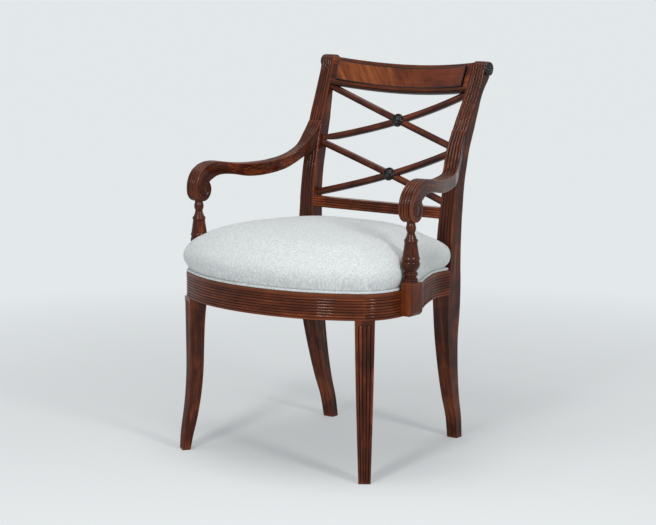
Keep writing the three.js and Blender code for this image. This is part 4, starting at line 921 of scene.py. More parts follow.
seatRail = {
    "reeds": 7, "reedDepth": 2.7, "reedSteps": 9, "topBand": 8.7, "bottomBand": 5.2, "thickness": 26,
    "chamfer": 0.9,
}
seat = {
    "halfWidth": 280, "depth": 446.5, "railHeight": 56.5,
    "frontEdge": [(0, 1), (0.25, 0.99), (0.5, 0.955), (0.68, 0.908), (0.8, 0.866), (0.877, 0.835),
                  (0.935, 0.79), (0.972, 0.741), (0.992, 0.685), (1, 0.634)],
    "sideEdge": [(0.985, 0.587), (0.88, 0.497), (0.7, 0.393), (0.49, 0.33), (0.18, 0.218), (0, 0.138),
                 (-0.04, 0.08), (0, 0)],
    "legRow": 5, "armPostRow": 9, "sideRow": 11, "perRow": 12, "legJoint": 0.08,
}
railEndX = float(postInner(post["railTop"]) + postWidth(post["railTop"]))
halfEdge = [(seat["halfWidth"] * x, -seat["depth"] * y) for x, y in seat["frontEdge"]]
halfEdge += [(railEndX + (seat["halfWidth"] - railEndX) * x, -seat["depth"] * y)
             for x, y in seat["sideEdge"]]
lastRow = len(halfEdge) - 1
seatEdge = smoothLine([(-x, y) for x, y in halfEdge[:0:-1]] + halfEdge, seat["perRow"])


def edgeRows(fromRow, toRow):
    start, stop = (int(round((row + lastRow) * seat["perRow"])) for row in (fromRow, toRow))
    return seatEdge[start:stop + 1]


def atHeight(line, z):
    return np.column_stack([line, np.full(len(line), float(z))])


railTree = newRailTree()


def reededRail(name, path, height, sizes):
    piece = grown(name, path, railTree, **{
        "Reeds": sizes["reeds"], "Reed Depth": sizes["reedDepth"] * mm, "Reed Steps": sizes["reedSteps"],
        "Pitch": (height - sizes["topBand"] - sizes["bottomBand"]) / sizes["reeds"] * mm,
        "Top Band": sizes["topBand"] * mm, "Bottom Band": sizes["bottomBand"] * mm,
        "Thickness": sizes["thickness"] * mm, "Chamfer": sizes["chamfer"] * mm, "Material": mahogany})
    grainAlong(piece, path)
    return piece


def makeSeatRails():   # the side rails begin on the front legs
    corner = edgeRows(seat["legRow"], seat["legRow"] + 1)
    start = corner[0] + (corner[1] - corner[0]) * seat["legJoint"]
    front = edgeRows(-seat["legRow"], seat["legRow"])
    sideLine = np.vstack([start, edgeRows(seat["legRow"], lastRow)[1:]])
    lines = {
        "seatRailFront": ("seat_rail_front", front),
        "seatRailRight": ("seat_rail_right", sideLine),
        "seatRailLeft": ("seat_rail_left", sideLine[::-1] * (-1, 1)),
    }
    for name, (node, line) in lines.items():
        path = atHeight(line, post["railBottom"])
        finishWood(reededRail(name, path, seat["railHeight"], seatRail), node)


crossRail = {
    "bottom": 519.5, "height": 24.5, "setBack": 1, "into": 2, "reeds": 4, "reedDepth": 2.5, "reedSteps": 10,
    "topBand": 0.5, "bottomBand": 0.5, "thickness": 18, "chamfer": 0.3,
}


def makeCrossRail():
    middle = crossRail["bottom"] + crossRail["height"] / 2
    face = float(postFront(middle)) + crossRail["setBack"]
    half = float(postInner(middle)) + crossRail["into"]
    path = [(x, face, crossRail["bottom"]) for x in np.linspace(-half, half, 9)]
    piece = reededRail("lowerCrossRail", path, crossRail["height"], crossRail)
    for vertex in piece.data.vertices:   # the rail leans with the posts
        vertex.co.y += (float(postFront(vertex.co.z / mm)) - float(postFront(middle))) * mm
    finishWood(piece, "lower_cross_rail")


def makeBackRail():
    height, depth, soft = seat["railHeight"], backRail["depth"], backRail["round"]
    outline = [(soft, 0), (height - soft, 0), (height, soft), (height, depth - soft),
               (height - soft, depth), (soft, depth), (0, depth - soft), (0, soft)]
    shares = np.linspace(-1, 1, backRail["rows"])
    points = np.array([(share * (float(postInner(post["railBottom"] + up)) + backRail["into"]),
                        backRail["front"] + behind, post["railBottom"] + up)
                       for share in shares for up, behind in outline])
    piece = addPiece("seatRailBack", points, skinFaces(len(shares), len(outline)), points[:, [1, 2, 0]])
    finishWood(piece, "seat_rail_back")


makeSeatRails()
makeCrossRail()
makeBackRail()
print("rails made")


# Lattice: two crosses of ridged bars, bowed backwards, halved at the middle level

lattice = {
    "topClearance": 5, "bottomClearance": 10, "bow": 28.5,
    "height": 15.6, "depth": 12, "ridge": 3.6, "crown": -0.2, "edge": 0.8, "chamfer": 1.5, "steps": 40,
    "crease": 50, "darkBelow": -0.3, "dark": 0.75, "halvingGap": 0.15,
    "setBackTop": 6.5, "setBackMiddle": 15.5, "setBackBottom": 16, "junctionRise": 5, "into": 5, "sag": 3.5,
    "rosetteRadius": 15.6, "rosetteHeight": 7.8, "rosetteSink": 2.2,
}
crossRailTop = crossRail["bottom"] + crossRail["height"]
latticeMiddle = (crossRailTop + crestBottom) / 2


def postSpot(z, setBack):
    return np.array([float(postInner(z)), float(postFront(z)) + setBack, z])


barEnds = {
    "top": postSpot(crestBottom - lattice["topClearance"], lattice["setBackTop"]),
    "high": postSpot(latticeMiddle + lattice["junctionRise"], lattice["setBackMiddle"]),
    "low": postSpot(latticeMiddle - lattice["junctionRise"], lattice["setBackMiddle"]),
    "bottom": postSpot(crossRailTop + lattice["bottomClearance"], lattice["setBackBottom"]),
}
latticeRise = barEnds["top"] - barEnds["bottom"]
latticeLean = math.atan2(latticeRise[1], latticeRise[2])
latticeBack = np.array([0, math.cos(latticeLean), -math.sin(latticeLean)])


def barSection():
    half, ridge, depth = lattice["height"] / 2, lattice["ridge"], lattice["depth"]
    crown, chamfer = lattice["crown"], lattice["chamfer"]
    front = [(half * u, ridge * (abs(u - crown) / (1 + abs(crown))) ** 1.6) for u in np.linspace(-1, 1, 17)]
    return front + [(half, ridge + lattice["edge"]), (half, depth - chamfer), (half - chamfer, depth),
                    (chamfer - half, depth), (-half, depth - chamfer), (-half, ridge + lattice["edge"])]


def halveBar(shape, trimSide):   # cut level where it meets the bar of the other cross
    everything = list(shape.verts) + list(shape.edges) + list(shape.faces)
    level = (0, 0, (latticeMiddle + lattice["halvingGap"] * trimSide) * mm)
    cutEdges = bmesh.ops.bisect_plane(shape, geom=everything, dist=1e-7, plane_co=level,
                                      plane_no=(0, 0, -trimSide), clear_outer=True)["geom_cut"]
    cutEdges = [item for item in cutEdges if isinstance(item, bmesh.types.BMEdge)]
    if cutEdges:
        bmesh.ops.contextual_create(shape, geom=cutEdges)
    bmesh.ops.recalc_face_normals(shape, faces=shape.faces)


def addBar(name, node, leftEnd, rightEnd, trimSide, sag):
    start = leftEnd * (-1, 1, 1)
    along = (rightEnd - start) / np.linalg.norm(rightEnd - start)
    upright = -np.cross(latticeBack, along)
    upright /= np.linalg.norm(upright)
    start, end = start - along * lattice["into"], rightEnd + along * lattice["into"]
    section = barSection()
    points, grain = [], []
    shares = np.linspace(0, 1, lattice["steps"] + 1)
    for share in shares:
        bow = 4 * share * (1 - share)
        middle = start + (end - start) * share + latticeBack * lattice["bow"] * bow - (0, 0, sag * bow)
        for up, behind in section:
            points.append(middle + upright * up + latticeBack * behind)
            grain.append((up, behind, share * np.linalg.norm(end - start)))
    piece = addPiece(name, points, skinFaces(len(shares), len(section)), grain)
    tidyMesh(piece, lattice["crease"])
    editMesh(piece.data, lambda shape: halveBar(shape, trimSide))
    piece.data.set_sharp_from_angle(angle=math.radians(lattice["crease"]))
    finishPiece(piece, mahogany, "mahogany", node)
    # painted shade on the lower part of each bar, its underside
    darken(piece, readGrain(piece)[:, 0] < lattice["darkBelow"] * lattice["height"] * mm, lattice["dark"])


def makeLattice():
    crosses = {
        "upper": (barEnds["top"], barEnds["high"], 1, lattice["sag"]),
        "lower": (barEnds["low"], barEnds["bottom"], -1, 0),
    }
    for level, (high, low, trimSide, sag) in crosses.items():
        title = level.capitalize()
        addBar("latticeRisingBar" + title, f"lattice_{level}_rising_bar", low, high, trimSide, sag)
        addBar("latticeFallingBar" + title, f"lattice_{level}_falling_bar", high, low, trimSide, sag)
        share = low[0] / (low[0] + high[0])
        behind = 4 * lattice["bow"] * share * (1 - share) + lattice["rosetteSink"]
        crossing = (low + (high - low) * share) * (0, 1, 1) - (0, 0, sag) + latticeBack * behind
        addBoss("rosette" + title, lattice["rosetteRadius"], lattice["rosetteHeight"], crossing,
                tuple(-latticeBack), "rosette_" + level)


makeLattice()
print("lattice made")


# Arms: swept like the posts, from the back post down to a scroll over the arm post

arm = {
    "width": 32.5, "rootWidth": 37.2, "reeds": 5, "scrollY": -271.5, "scrollZ": 578.5, "scrollRadius": 25.5,
    "throat": 45,     # degrees round the scroll where the underside meets it
    "lineStart": 0.94, "lineDrop": 0.36, "lineTurns": 0.45, "lineWind": 0.08,   # of the scroll's radius
    "grooveDepth": 1.7, "grooveWidth": 1.5, "eyeRise": 0.9, "eyeShare": 0.45, "rounding": 3.2,
    "bodyRows": 15,   # the rows and the first of the lip; the scroll after them is stepped finer
    "rows": [(50.4, 719, 32.8, 652.6), (38, 701.5, 26.5, 648.2), (27.5, 689, 18.7, 643.5),
             (11.3, 668, 3, 632), (-5.4, 654, -12, 621.5), (-24.3, 643, -31, 611.2),
             (-45, 636, -49, 605.8), (-67, 632, -68, 602.6), (-104, 630, -101.5, 599.5),
             (-140, 630.5, -136, 600.5), (-185, 635.5, -176, 607.6), (-220, 641, -210, 610.2),
             (-243, 640.3, -229, 607.8), (-262, 635, -244, 601.8)],
    "lip": [(-277, 626.3), (-288.5, 613.5), (-294.6, 601), (-297, 589)],
    "centre": [(-300, 293.2), (-262, 291.5), (-220, 286), (-185, 280), (-140, 269), (-104, 258.5),
               (-67, 248), (-52, 243.5), (-39, 237.5), (-24.3, 230.3), (-5.4, 220.5), (11.3, 212.5),
               (28.6, 206), (49.5, 202.6), (60, 202.6)],
}
armCentre = smoothTable(arm["centre"])
armWidthAt = smoothTable([(-300, arm["width"]), (-50, arm["width"]), (0, 34.5), (49.5, arm["rootWidth"]),
                          (60, arm["rootWidth"])])


def armSlopeRow(y, step=2):   # the slope in plan, fading to none where the arm meets the post
    fade = min(1, max(0, (40 - y) / 35))
    return y, float(armCentre(y + step) - armCentre(y - step)) / (2 * step) * fade


armSlope = smoothTable([armSlopeRow(y) for y in np.linspace(-300, 60, 61)])


def armPlace(share, y, z):
    slope = armSlope(y)
    size = np.sqrt(1 + slope ** 2)
    sidestep = (share - 0.5) * armWidthAt(y)
    return np.column_stack([armCentre(y) + sidestep / size, y - sidestep * slope / size, z])


def voluteCarve(place):   # a groove that winds in from the throat towards the eye
    away = place - (arm["scrollY"], arm["scrollZ"])
    reach = np.hypot(away[:, 0], away[:, 1])
    wound = (np.degrees(np.arctan2(away[:, 1], away[:, 0])) - arm["throat"]) % 360 / 360
    groove = np.full(len(place), 99.0)
    for turns in (wound, wound + 1):
        drop = arm["lineDrop"] * np.clip(turns / arm["lineTurns"], 0, 1)
        line = arm["scrollRadius"] * (arm["lineStart"] - drop - arm["lineWind"] * turns)
        groove = np.minimum(groove, np.abs(reach - line))
    depth = arm["grooveDepth"] * np.exp(-(groove / arm["grooveWidth"]) ** 2)
    eye = arm["eyeRise"] * np.clip(1 - reach / (arm["eyeShare"] * arm["scrollRadius"]), 0, 1)
    return np.where(reach < arm["scrollRadius"] * 1.02, depth - eye, 0)


def makeArm(side, suffix):
    throat = onScroll(arm, arm["throat"])
    rows = [*arm["rows"]] + [(y, z, *throat) for y, z in arm["lip"]]
    rows += [(*onScroll(arm, degrees), *throat) for degrees in range(180, 395, 15)]
    body = smoothLine(rows[:arm["bodyRows"]], 7)[:-1]
    roll = smoothLine(rows[arm["bodyRows"] - 2:], 5)[5:]
    line = np.vstack([body, roll])
    outer, inner = line[:, :2], line[:, 2:]
    rounding = np.clip(np.linalg.norm(inner - np.array(throat), axis=1) / 12, 0.02, arm["rounding"])
    skin = reededSkin(outer, inner, armPlace, arm["reeds"], None, rounding, 24, voluteCarve)
    finishWood(addPiece("arm" + suffix, *skin, side), "arm_" + suffix.lower())


onBothSides(makeArm)
print("arms made")


# Turned arm posts on square blocks; each stretch of the profile is smooth, with a break between

armPost = {
    "x": 293, "y": -271.5, "sides": 56, "blockWidth": 37, "blockFront": 16, "blockBack": 19.3,
    "blockLow": 352, "blockHigh": 424.5, "blockRound": 13.5, "chamfer": 1.3, "railSideChamfer": 5,
    "topSoft": 1.6, "footSoft": 1, "crease": 32,
    "turning": [
        [(423.5, 15), (425.8, 16.2), (428.2, 15.2)],
        [(428.9, 14.8), (430.9, 15.9), (433, 14.6)],
        [(433.7, 12.6), (436.2, 12.5), (438.9, 12.4)],
        [(439.7, 14.6), (442.6, 15.7), (445.5, 14.6)],
        [(446.4, 13.1), (448.6, 12.7), (451.2, 14.2), (454.4, 16.4), (459, 18.9), (465, 19.8), (469, 18.9),
         (471.2, 17.4)],
        [(471.9, 18.3), (476, 19.4), (480.2, 18.3)],
        [(480.9, 17.7), (487, 17), (493.8, 16), (502, 14.8), (509.8, 13.7)],
        [(510.5, 14.2), (514, 15.1), (517.2, 14.2)],
        [(517.8, 12.4), (521, 11.4), (526, 9.5), (532, 8.3)],
        [(533.2, 8.9), (537, 10.4), (541, 11), (546, 10.3), (550.9, 9)],
        [(551.6, 9.3), (556, 9.8), (560, 9.6)],
    ],
}
blockInner = armPost["x"] - armPost["blockWidth"] / 2
blockOuter = armPost["x"] + armPost["blockWidth"] / 2
blockFront = armPost["y"] - armPost["blockFront"]
blockBack = armPost["y"] + armPost["blockBack"]


def turnedPart():
    profile = np.vstack([smoothLine(stretch, 5) for stretch in armPost["turning"]])
    angles = [2 * math.pi * i / armPost["sides"] for i in range(armPost["sides"])]
    grain = np.array([(radius * math.cos(a), radius * math.sin(a), z)
                      for z, radius in profile for a in angles])
    return grain + (armPost["x"], armPost["y"], 0), skinFaces(len(profile), len(angles)), grain


def blockOutline():   # its lower corner on the outside is rounded
    low, high, radius = armPost["blockLow"], armPost["blockHigh"], armPost["blockRound"]
    soft, foot = armPost["topSoft"], armPost["footSoft"]
    outline = [(blockOuter - radius + radius * math.sin(a), low + radius - radius * math.cos(a))
               for a in np.linspace(0, math.pi / 2, 10)]
    return outline + [(blockOuter, high - soft), (blockOuter - soft, high), (blockInner + soft, high),
                      (blockInner, high - soft), (blockInner, low + foot), (blockInner + foot, low)]


def blockPart():
    soft, railSide = armPost["chamfer"], armPost["railSideChamfer"]
    outline = blockOutline()
    half = np.array([blockOuter - blockInner, armPost["blockHigh"] - armPost["blockLow"]]) / 2
    middle = np.array([blockInner, armPost["blockLow"]]) + half
    rows = [(blockFront, soft), (blockFront + 0.4 * soft, 0.4 * soft), (blockFront + soft, 0),
            (blockFront + railSide, 0), (blockBack - soft, 0), (blockBack - 0.4 * soft, 0.4 * soft),
            (blockBack, soft)]
    points, grain = [], []
    for y, shrink in rows:
        towardsRail = max(0, railSide - (y - blockFront))
        for x, z in outline:
            way = (np.array([x, z]) - middle) / half
            inset = shrink * np.clip(way[0], -1, 1) if way[0] > 0 else -towardsRail * min(1, -way[0])
            points.append((x - inset, y, z - shrink * np.clip(way[1], -1, 1)))
            grain.append((x - armPost["x"], y - armPost["y"], z))
    return np.array(points), skinFaces(len(rows), len(outline)), np.array(grain)


def makeArmPost(side, suffix):
    piece = addPiece("armPost" + suffix, *joinParts([turnedPart(), blockPart()]), side)
    finishWood(piece, "arm_post_" + suffix.lower(), armPost["crease"])


onBothSides(makeArmPost)
print("arm posts made")


# Front legs: sabre legs with five reeds, whose grooves join in arches below the rail

leg = {
    "turn": 36, "reeds": 5, "plainTop": 9, "top": 350,
    "width": [(0, 26.5), (91, 32.1), (161, 36), (245, 39.8), (350, 43.5)],
    "depth": [(0, 21), (17.5, 23.1), (60, 28.1), (119, 31.3), (175, 33.3), (234, 34.8), (290, 37.1),
              (332, 41), (350, 44)],
    "toeLine": [(0, 18), (40, 14.9), (86, 8.1), (130, 2.9), (189, -0.36), (266, -0.54), (350, 0)],
    "footPad": 5, "footFade": 1.4, "sideFade": 1.6, "crown": 0.35, "rounding": 3.0,
    "footRound": 2, "footLift": 0.35,
}
legWidthAt, legDepthAt, legToeAt = (smoothTable(leg[name]) for name in ("width", "depth", "toeLine"))
legSpot = np.array(halfEdge[seat["legRow"]])
legTurn = math.radians(leg["turn"])
legAlong = np.array([math.cos(legTurn), math.sin(legTurn)])
legIn = np.array([-math.sin(legTurn), math.cos(legTurn)])


def legPlace(share, inwards, z):
    across = (share - 0.5) * legWidthAt(z)
    plan = legSpot + across[:, None] * legAlong + inwards[:, None] * legIn
    return np.column_stack([plan, z])


def legCut(heights):
    def cutAt(shares, r):
        z = heights[r]
        reedHalf = float(legWidthAt(z)) / leg["reeds"] / 2
        archBase = leg["top"] - leg["plainTop"] - reedHalf
        x = shares * leg["reeds"] * 2 * reedHalf
        away = np.full(len(shares), 99.0)
        for line in range(leg["reeds"] + 1):
            isSide = line in (0, leg["reeds"])
            if z <= archBase or isSide:
                over = max(0.0, z - archBase) * (leg["sideFade"] if isSide else 1)
                away = np.minimum(away, np.hypot(x - 2 * line * reedHalf, over))
        if z > archBase:
            for centre in (3 * reedHalf, 7 * reedHalf):   # arches over the second and fourth reeds
                away = np.minimum(away, np.abs(np.hypot(x - centre, z - archBase) - reedHalf))
        away = away + max(0.0, leg["footPad"] - z) * leg["footFade"]
        within = np.clip(1 - away / reedHalf, 0, 1)
        crown = leg["crown"] * (2 * shares - 1) ** 2
        return reedShape["depth"] * (1 - np.sqrt(1 - within ** 2)) + crown
    return cutAt


def makeLeg(side, suffix):
    heights = np.concatenate([np.linspace(0, 10, 12), np.linspace(14, 332, 80), np.linspace(333, 350, 24)])
    lift = np.maximum(leg["footRound"] - heights, 0) * leg["footLift"]    # the foot's arris is rounded
    outer = np.column_stack([-legToeAt(heights) + lift, heights])
    inner = np.column_stack([legDepthAt(heights) - legToeAt(heights) - lift, heights])
    skin = reededSkin(outer, inner, legPlace, leg["reeds"], legCut(heights), leg["rounding"])
    finishWood(addPiece("frontLeg" + suffix, *skin, side), "front_leg_" + suffix.lower())


onBothSides(makeLeg)
print("front legs made")


# Upholstery: the outline inside the seat's edge, clear of the arm posts' blocks and the back posts

cushion = {
    "base": 406.8, "crown": 115, "clearance": 2, "footInset": 8.6, "backMargin": 4,
    "wall": [(0, 8.6), (0.048, 8.6), (0.083, 5), (0.15, -2), (0.217, -8), (0.313, -11), (0.435, -8),
             (0.52, -2), (0.583, 4), (0.64, 10.5), (0.687, 18)],
    "top": [(0, 0.687), (0.1, 0.81), (0.29, 0.904), (0.54, 0.965), (0.85, 0.997), (1, 1)],
    "wallRings": 26, "topRings": 34, "points": 420, "middleY": -200, "lastShare": 0.985, "footTop": 0.1,
    "reachAt": [0.3, 0.45, 0.6, 0.687], "reach": [0, 6, 17, 28], "topReach": 30,
    "shrink": 4, "shrinkAt": [0, 0.06, 0.2], "shrinkShare": [0, 0, 1],
    "voxel": 6, "pressure": 4, "frames": 20, "cap": 5.5, "smoothing": 14,
    "tackedHeight": 4, "tackedFade": 8, "nearReach": 5, "nearTop": 447, "nearFade": 15,
    "cover": 1.4, "coverGap": 0.8, "openBelow": 2.5, "foamBottom": 419.1, "drape": 0.8,
}


def insetCorner(before, corner, after, insetBefore, insetAfter):
    arriving = (corner - before) / np.linalg.norm(corner - before)
    leaving = (after - corner) / np.linalg.norm(after - corner)
    bend = arriving[0] * leaving[1] - arriving[1] * leaving[0]
    if abs(bend) < 0.001:
        return corner + np.array([-arriving[1], arriving[0]]) * insetBefore
    return corner + leaving * (insetBefore / bend) - arriving * (insetAfter / bend)


def cushionEdge(inset, isFoot=True):   # the seat's outline, notched round the blocks and the back posts
    held = max(inset, cushion["clearance"])
    beside = min(held, cushion["footInset"])
    notch = held if isFoot else max(inset - (seat["halfWidth"] - blockInner), cushion["clearance"])
    back = max(inset, 0)
    backY = backRail["front"] + backRail["depth"] - cushion["backMargin"]
    gapX = float(postInner(post["railTop"]))
    beforeBlock, afterBlock = edgeRows(8, 9)[6][0], edgeRows(seat["sideRow"] - 1, seat["sideRow"])[0][0]
    right = [(p, inset) for p in edgeRows(0, seat["armPostRow"] - 1)[::3]]
    right += [((beforeBlock, blockFront), beside), ((blockInner, blockFront), notch),
              ((blockInner, blockBack), beside), ((afterBlock, blockBack), inset)]
    right += [(p, inset) for p in edgeRows(seat["sideRow"], lastRow - 1)[::3]]
    right += [((railEndX, 0.0), held), ((gapX, 0.0), held), ((gapX, backY), back),
              ((gapX / 2, backY), back)]
    right = [(np.array(p), after) for p, after in right]
    left = [(p * (-1, 1), right[i][1]) for i, (p, _) in enumerate(right[1:])][::-1]
    corners = right + [(np.array([0.0, backY]), back)] + left
    outline = []
    for i, (corner, insetAfter) in enumerate(corners):
        before, insetBefore = corners[i - 1]
        after = corners[(i + 1) % len(corners)][0]
        outline.append(insetCorner(before, corner, after, insetBefore, insetAfter))
    return np.array(outline)


def softened(outline, reach):   # evenly stepped, and rounded off over a reach
    closed = evenLine(np.vstack([outline, outline[:1]]), cushion["points"] + 1)[:-1]
    if reach <= 0:
        return closed
    step = lengthAlong(np.vstack([closed, closed[:1]]))[-1] / cushion["points"]
    waves = np.fft.fftfreq(cushion["points"], step)
    damp = np.exp(-2 * (math.pi * waves * reach) ** 2)
    return np.column_stack([np.fft.ifft(np.fft.fft(closed[:, k]) * damp).real for k in range(2)])


def cushionRings():   # up the wall first, then in over the top
    insetAt, riseAt = smoothTable(cushion["wall"]), smoothTable(cushion["top"])
    height = cushion["crown"] - cushion["shrink"]     # the swelling and the cover bring back the rest
    rings = []
    for rise in np.linspace(0, cushion["wall"][-1][0], cushion["wallRings"]):
        reach = np.interp(rise, cushion["reachAt"], cushion["reach"])
        grow = cushion["shrink"] * np.interp(rise, cushion["shrinkAt"], cushion["shrinkShare"])
        edge = cushionEdge(float(insetAt(rise)) + grow, rise < cushion["footTop"])
        rings.append(atHeight(softened(edge, reach), cushion["base"] + rise * height))
    shoulder = rings[-1][:, :2]
    middle = np.array([0.0, cushion["middleY"]])
    for share in np.linspace(0, cushion["lastShare"], cushion["topRings"])[1:]:
        reach = cushion["reach"][-1] + cushion["topReach"] * share
        outline = softened(shoulder + (middle - shoulder) * share, reach)
        rings.append(atHeight(outline, cushion["base"] + float(riseAt(share)) * height))
    return rings


def applyModifiers(piece):
    ready = piece.evaluated_get(bpy.context.evaluated_depsgraph_get())
    result = bpy.data.meshes.new_from_object(ready)
    piece.modifiers.clear()
    old, piece.data = piece.data, result
    bpy.data.meshes.remove(old)


def heldShares(points):   # 1 where the cover is tacked down or lies against the blocks and posts
    x, y, z = np.abs(points[:, 0]) / mm, points[:, 1] / mm - postLine, points[:, 2] / mm
    foot = np.clip(1 - (z - cushion["base"] - cushion["tackedHeight"]) / cushion["tackedFade"], 0, 1)
    pastBlock = np.maximum(blockFront - y, y - blockBack)
    toBlock = np.hypot(np.maximum(blockInner - x, 0), np.maximum(pastBlock, 0))
    toPost = np.hypot(np.maximum(float(postInner(post["railTop"])) - x, 0), np.maximum(-y, 0))
    near = np.clip(1.5 - np.minimum(toBlock, toPost) / cushion["nearReach"], 0, 1)
    return np.maximum(foot, near * np.clip((cushion["nearTop"] - z) / cushion["nearFade"], 0, 1))


def inflate(piece):   # a cloth under pressure; its outward swelling is capped and smoothed
    start, edges = pointsOf(piece), readValues(piece.data.edges, "vertices", 2)
    outwards = readValues(piece.data.vertices, "normal")
    held = heldShares(start)
    group = piece.vertex_groups.new(name="tacked")
    for index in np.nonzero(held > 0)[0]:
        group.add([int(index)], float(held[index]), "REPLACE")
    cloth = piece.modifiers.new("stuffing", "CLOTH")
    cloth.settings.use_pressure = True
    cloth.settings.uniform_pressure_force = cushion["pressure"]
    cloth.settings.effector_weights.gravity = 0
    cloth.settings.vertex_group_mass = group.name
    cloth.settings.quality = 5
    cloth.collision_settings.use_collision = False
    for number in range(1, cushion["frames"] + 1):
        scene.frame_set(number)
    applyModifiers(piece)
    scene.frame_set(1)
    swell = np.clip(((pointsOf(piece) - start) * outwards).sum(1), 0, None)
    cap = cushion["cap"] * mm
    swell = np.tanh(swell / cap) * cap
    count = np.bincount(edges.ravel(), minlength=len(start))
    for _ in range(cushion["smoothing"]):
        around = (np.bincount(edges[:, 0], swell[edges[:, 1]], len(start))
                  + np.bincount(edges[:, 1], swell[edges[:, 0]], len(start)))
        swell = around / count
    piece.data.vertices.foreach_set("co", (start + outwards * swell[:, None]).astype(np.float32).ravel())
    piece.data.update()
    print("cushion swells by", round(float(swell.max()) / mm, 1), "mm")


def clothCoordinates(piece):   # the cloth's own plane, carried down over the sides
    points = pointsOf(piece)
    middle = np.array([0, (cushion["middleY"] + postLine) * mm])
    away = points[:, :2] - middle
    drop = (cushion["base"] + cushion["crown"]) * mm - points[:, 2]
    unit = away / np.maximum(np.linalg.norm(away, axis=1), 0.02)[:, None]
    flat = points[:, :2] + unit * drop[:, None] * cushion["drape"]
    storeValues(piece.data, "cloth", np.column_stack([flat, np.zeros(len(flat))]))


def shrinkWithin(shape):   # the filling lies inside the cover and on the board
    shape.normal_update()
    inwards = (cushion["cover"] + cushion["coverGap"]) * mm
    moves = [vertex.normal * inwards for vertex in shape.verts]
    for vertex, move in zip(shape.verts, moves):
        vertex.co -= move
        vertex.co.z = max(vertex.co.z, cushion["foamBottom"] * mm)
    bmesh.ops.remove_doubles(shape, verts=shape.verts, dist=0.0002)


def openBelow(shape):   # the cover is open underneath, with its edge on the rails
    shape.normal_update()
    level = (cushion["base"] + cushion["openBelow"]) * mm
    under = [face for face in shape.faces if face.calc_center_median().z < level and face.normal.z < -0.5]
    bmesh.ops.delete(shape, geom=under, context="FACES")
    for vertex in shape.verts:
        vertex.co.z = max(vertex.co.z, cushion["base"] * mm)


def makeCushion():
    rings = cushionRings()
    cover = addPiece("seatCover", np.vstack(rings), skinFaces(len(rings), cushion["points"]))
    tidyMesh(cover)
    remesh = cover.modifiers.new("voxels", "REMESH")
    remesh.mode = "VOXEL"
    remesh.voxel_size = cushion["voxel"] * mm
    applyModifiers(cover)
    inflate(cover)
    fine = cover.modifiers.new("fine", "SUBSURF")
    fine.levels = fine.render_levels = 1
    applyModifiers(cover)

    foam = addObject("seatFoam", cover.data.copy())
    editMesh(foam.data, shrinkWithin)
    tidyMesh(foam)
    clothCoordinates(foam)
    finishPiece(foam, foamMaterial, "foam", "seat_foam")

    editMesh(cover.data, openBelow)
    wall = cover.modifiers.new("cloth", "SOLIDIFY")
    wall.thickness = cushion["cover"] * mm
    wall.offset = -1
    applyModifiers(cover)
    tidyMesh(cover, 70)
    clothCoordinates(cover)
    finishPiece(cover, seatFabric, "seat_fabric", "seat_cover")


makeCushion()
print("cushion made")


welt = {"radius": 3.1, "inset": 4.5, "sides": 12, "reach": 1.2}


def newWeltTree():
    tree, given, out = newGroup("weltCord", "GeometryNodeTree", [
        ("Geometry", "NodeSocketGeometry", None), ("Radius", "NodeSocketFloat", 0.003),
        ("Sides", "NodeSocketInt", 12), ("Material", "NodeSocketMaterial", None),
    ], [("Geometry", "NodeSocketGeometry")])
    ring = addNode(tree, "GeometryNodeCurvePrimitiveCircle", Resolution=given["Sides"],
                   Radius=given["Radius"])
    return finishSweep(tree, given, out, ring)


def makeWelt():
    outline = softened(cushionEdge(welt["inset"]), welt["reach"])
    path = atHeight(outline, cushion["base"] + welt["radius"])
    piece = grown("seatWelt", path, newWeltTree(), True, Radius=welt["radius"] * mm, Sides=welt["sides"],
                  Material=seatFabric)
    tidyMesh(piece)
    clothCoordinates(piece)
    finishPiece(piece, seatFabric, "seat_fabric", "seat_welt")


makeWelt()


dustCover = {"inset": 12, "bottom": 347.3, "thickness": 0.7, "sag": 2, "reach": 2, "rows": 22}


def makeDustCover():   # two layers of rings, out over the lower one and back over the upper one
    outline = softened(cushionEdge(dustCover["inset"]), dustCover["reach"])
    middle = np.array([0.0, cushion["middleY"]])
    shares = np.linspace(0, 0.98, dustCover["rows"])
    rings = []
    for level, row in ((0, shares[::-1]), (dustCover["thickness"], shares)):
        for share in row:
            sag = dustCover["sag"] * math.sin(math.pi / 2 * share) ** 2
            ring = outline + (middle - outline) * share
            rings.append(atHeight(ring, dustCover["bottom"] + level + dustCover["sag"] - sag))
    piece = addPiece("seatDustCover", np.vstack(rings), skinFaces(len(rings), cushion["points"]))
    tidyMesh(piece, 60)
    clothCoordinates(piece)
    finishPiece(piece, cambric, "cambric", "seat_dust_cover")


makeDustCover()
print("upholstery made")


# Pieces inside the seat keep the frame's own shape

for name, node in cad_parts.items():
    if node.hide_render:
        continue
    if "screw" in name:
        material = screwSteel
    elif name == "seat_board":
        material = plywood
    else:
        material = beech
    node.data.materials.clear()
    node.data.materials.append(material)
    print("kept", name)


# Floor and light

paleTone = (0.785, 0.82, 0.835, 1)
floor = {"radius": 60, "shadowNear": 0.6, "paleFrom": 2.2, "nearShare": 0.3, "farShare": 0.97}


def seenRays(tree):   # the camera's rays and those that gloss or glass sends on
    rays = addNode(tree, "ShaderNodeLightPath").outputs
    mirrored = doMath(tree, "MAXIMUM", rays["Is Glossy Ray"], rays["Is Transmission Ray"])
    return doMath(tree, "MAXIMUM", rays["Is Camera Ray"], mirrored)


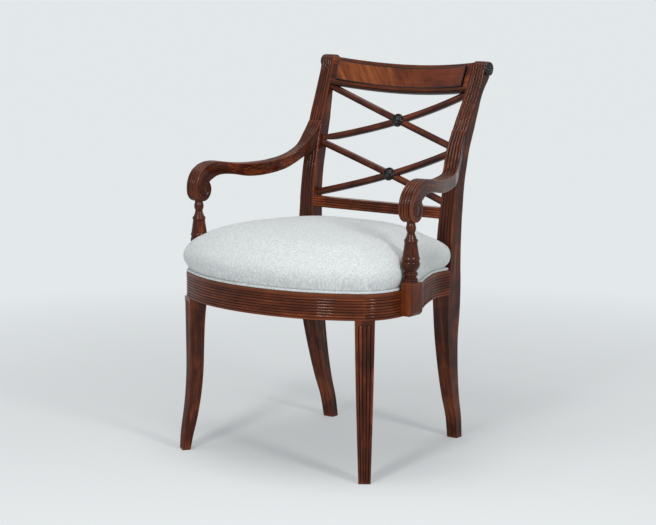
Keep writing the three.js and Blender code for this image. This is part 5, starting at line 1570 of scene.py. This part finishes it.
def makeFloor():
    angles = np.linspace(0, 2 * math.pi, 72, endpoint=False)
    points = [(floor["radius"] * math.cos(a), floor["radius"] * math.sin(a), 0) for a in angles]
    mesh = bpy.data.meshes.new("floor")
    mesh.from_pydata(points, [], [tuple(range(len(points)))])
    ground = addObject("floor", mesh)
    material = bpy.data.materials.new("palePaper")
    tree = clearedTree(material)
    lit = addNode(tree, "ShaderNodeBsdfPrincipled", **{
        "Base Color": (0.83, 0.855, 0.86, 1), "Roughness": 0.9, "Specular IOR Level": 0.1})
    pale = addNode(tree, "ShaderNodeEmission", Color=paleTone)
    place = addNode(tree, "ShaderNodeTexCoord").outputs["Object"]
    away = addNode(tree, "ShaderNodeVectorMath", {"operation": "LENGTH"}, _0=place).outputs["Value"]
    share = remap(tree, away, floor["shadowNear"], floor["paleFrom"], floor["nearShare"], floor["farShare"])
    mixed = addNode(tree, "ShaderNodeMixShader", _0=times(tree, share, seenRays(tree)),
                    _1=lit.outputs[0], _2=pale.outputs[0])
    addNode(tree, "ShaderNodeOutputMaterial", Surface=mixed.outputs[0])
    mesh.materials.append(material)


def addLamp(name, right, near, height, size, power, aimHeight=0.55):
    data = bpy.data.lights.new(name, "AREA")
    data.shape = "RECTANGLE"
    data.size, data.size_y = size
    data.energy = power
    lamp = addObject(name, data)
    lamp.location = sideways * right - forward * near + Vector((0, 0, height))
    aim = Vector((0, 0, aimHeight)) - lamp.location
    lamp.rotation_euler = aim.to_track_quat("-Z", "Y").to_euler()


def makeLight():
    world = bpy.data.worlds.new("softRoom")
    scene.world = world
    tree = clearedTree(world)
    soft = addNode(tree, "ShaderNodeBackground", Color=(0.93, 0.97, 1, 1), Strength=0.25)
    pale = addNode(tree, "ShaderNodeBackground", Color=paleTone, Strength=1.0)
    mixed = addNode(tree, "ShaderNodeMixShader", _0=seenRays(tree), _1=soft.outputs[0],
                    _2=pale.outputs[0])
    addNode(tree, "ShaderNodeOutputWorld", Surface=mixed.outputs[0])
    addLamp("windowLeft", -1.35, 2.8, 1.9, (0.5, 0.9), 41)
    addLamp("windowRight", 1.6, 2.3, 1.7, (0.4, 0.8), 27)
    addLamp("ceiling", -0.2, 0.3, 3.0, (1.6, 1.4), 32)


makeFloor()
makeLight()
print("stage and light made")
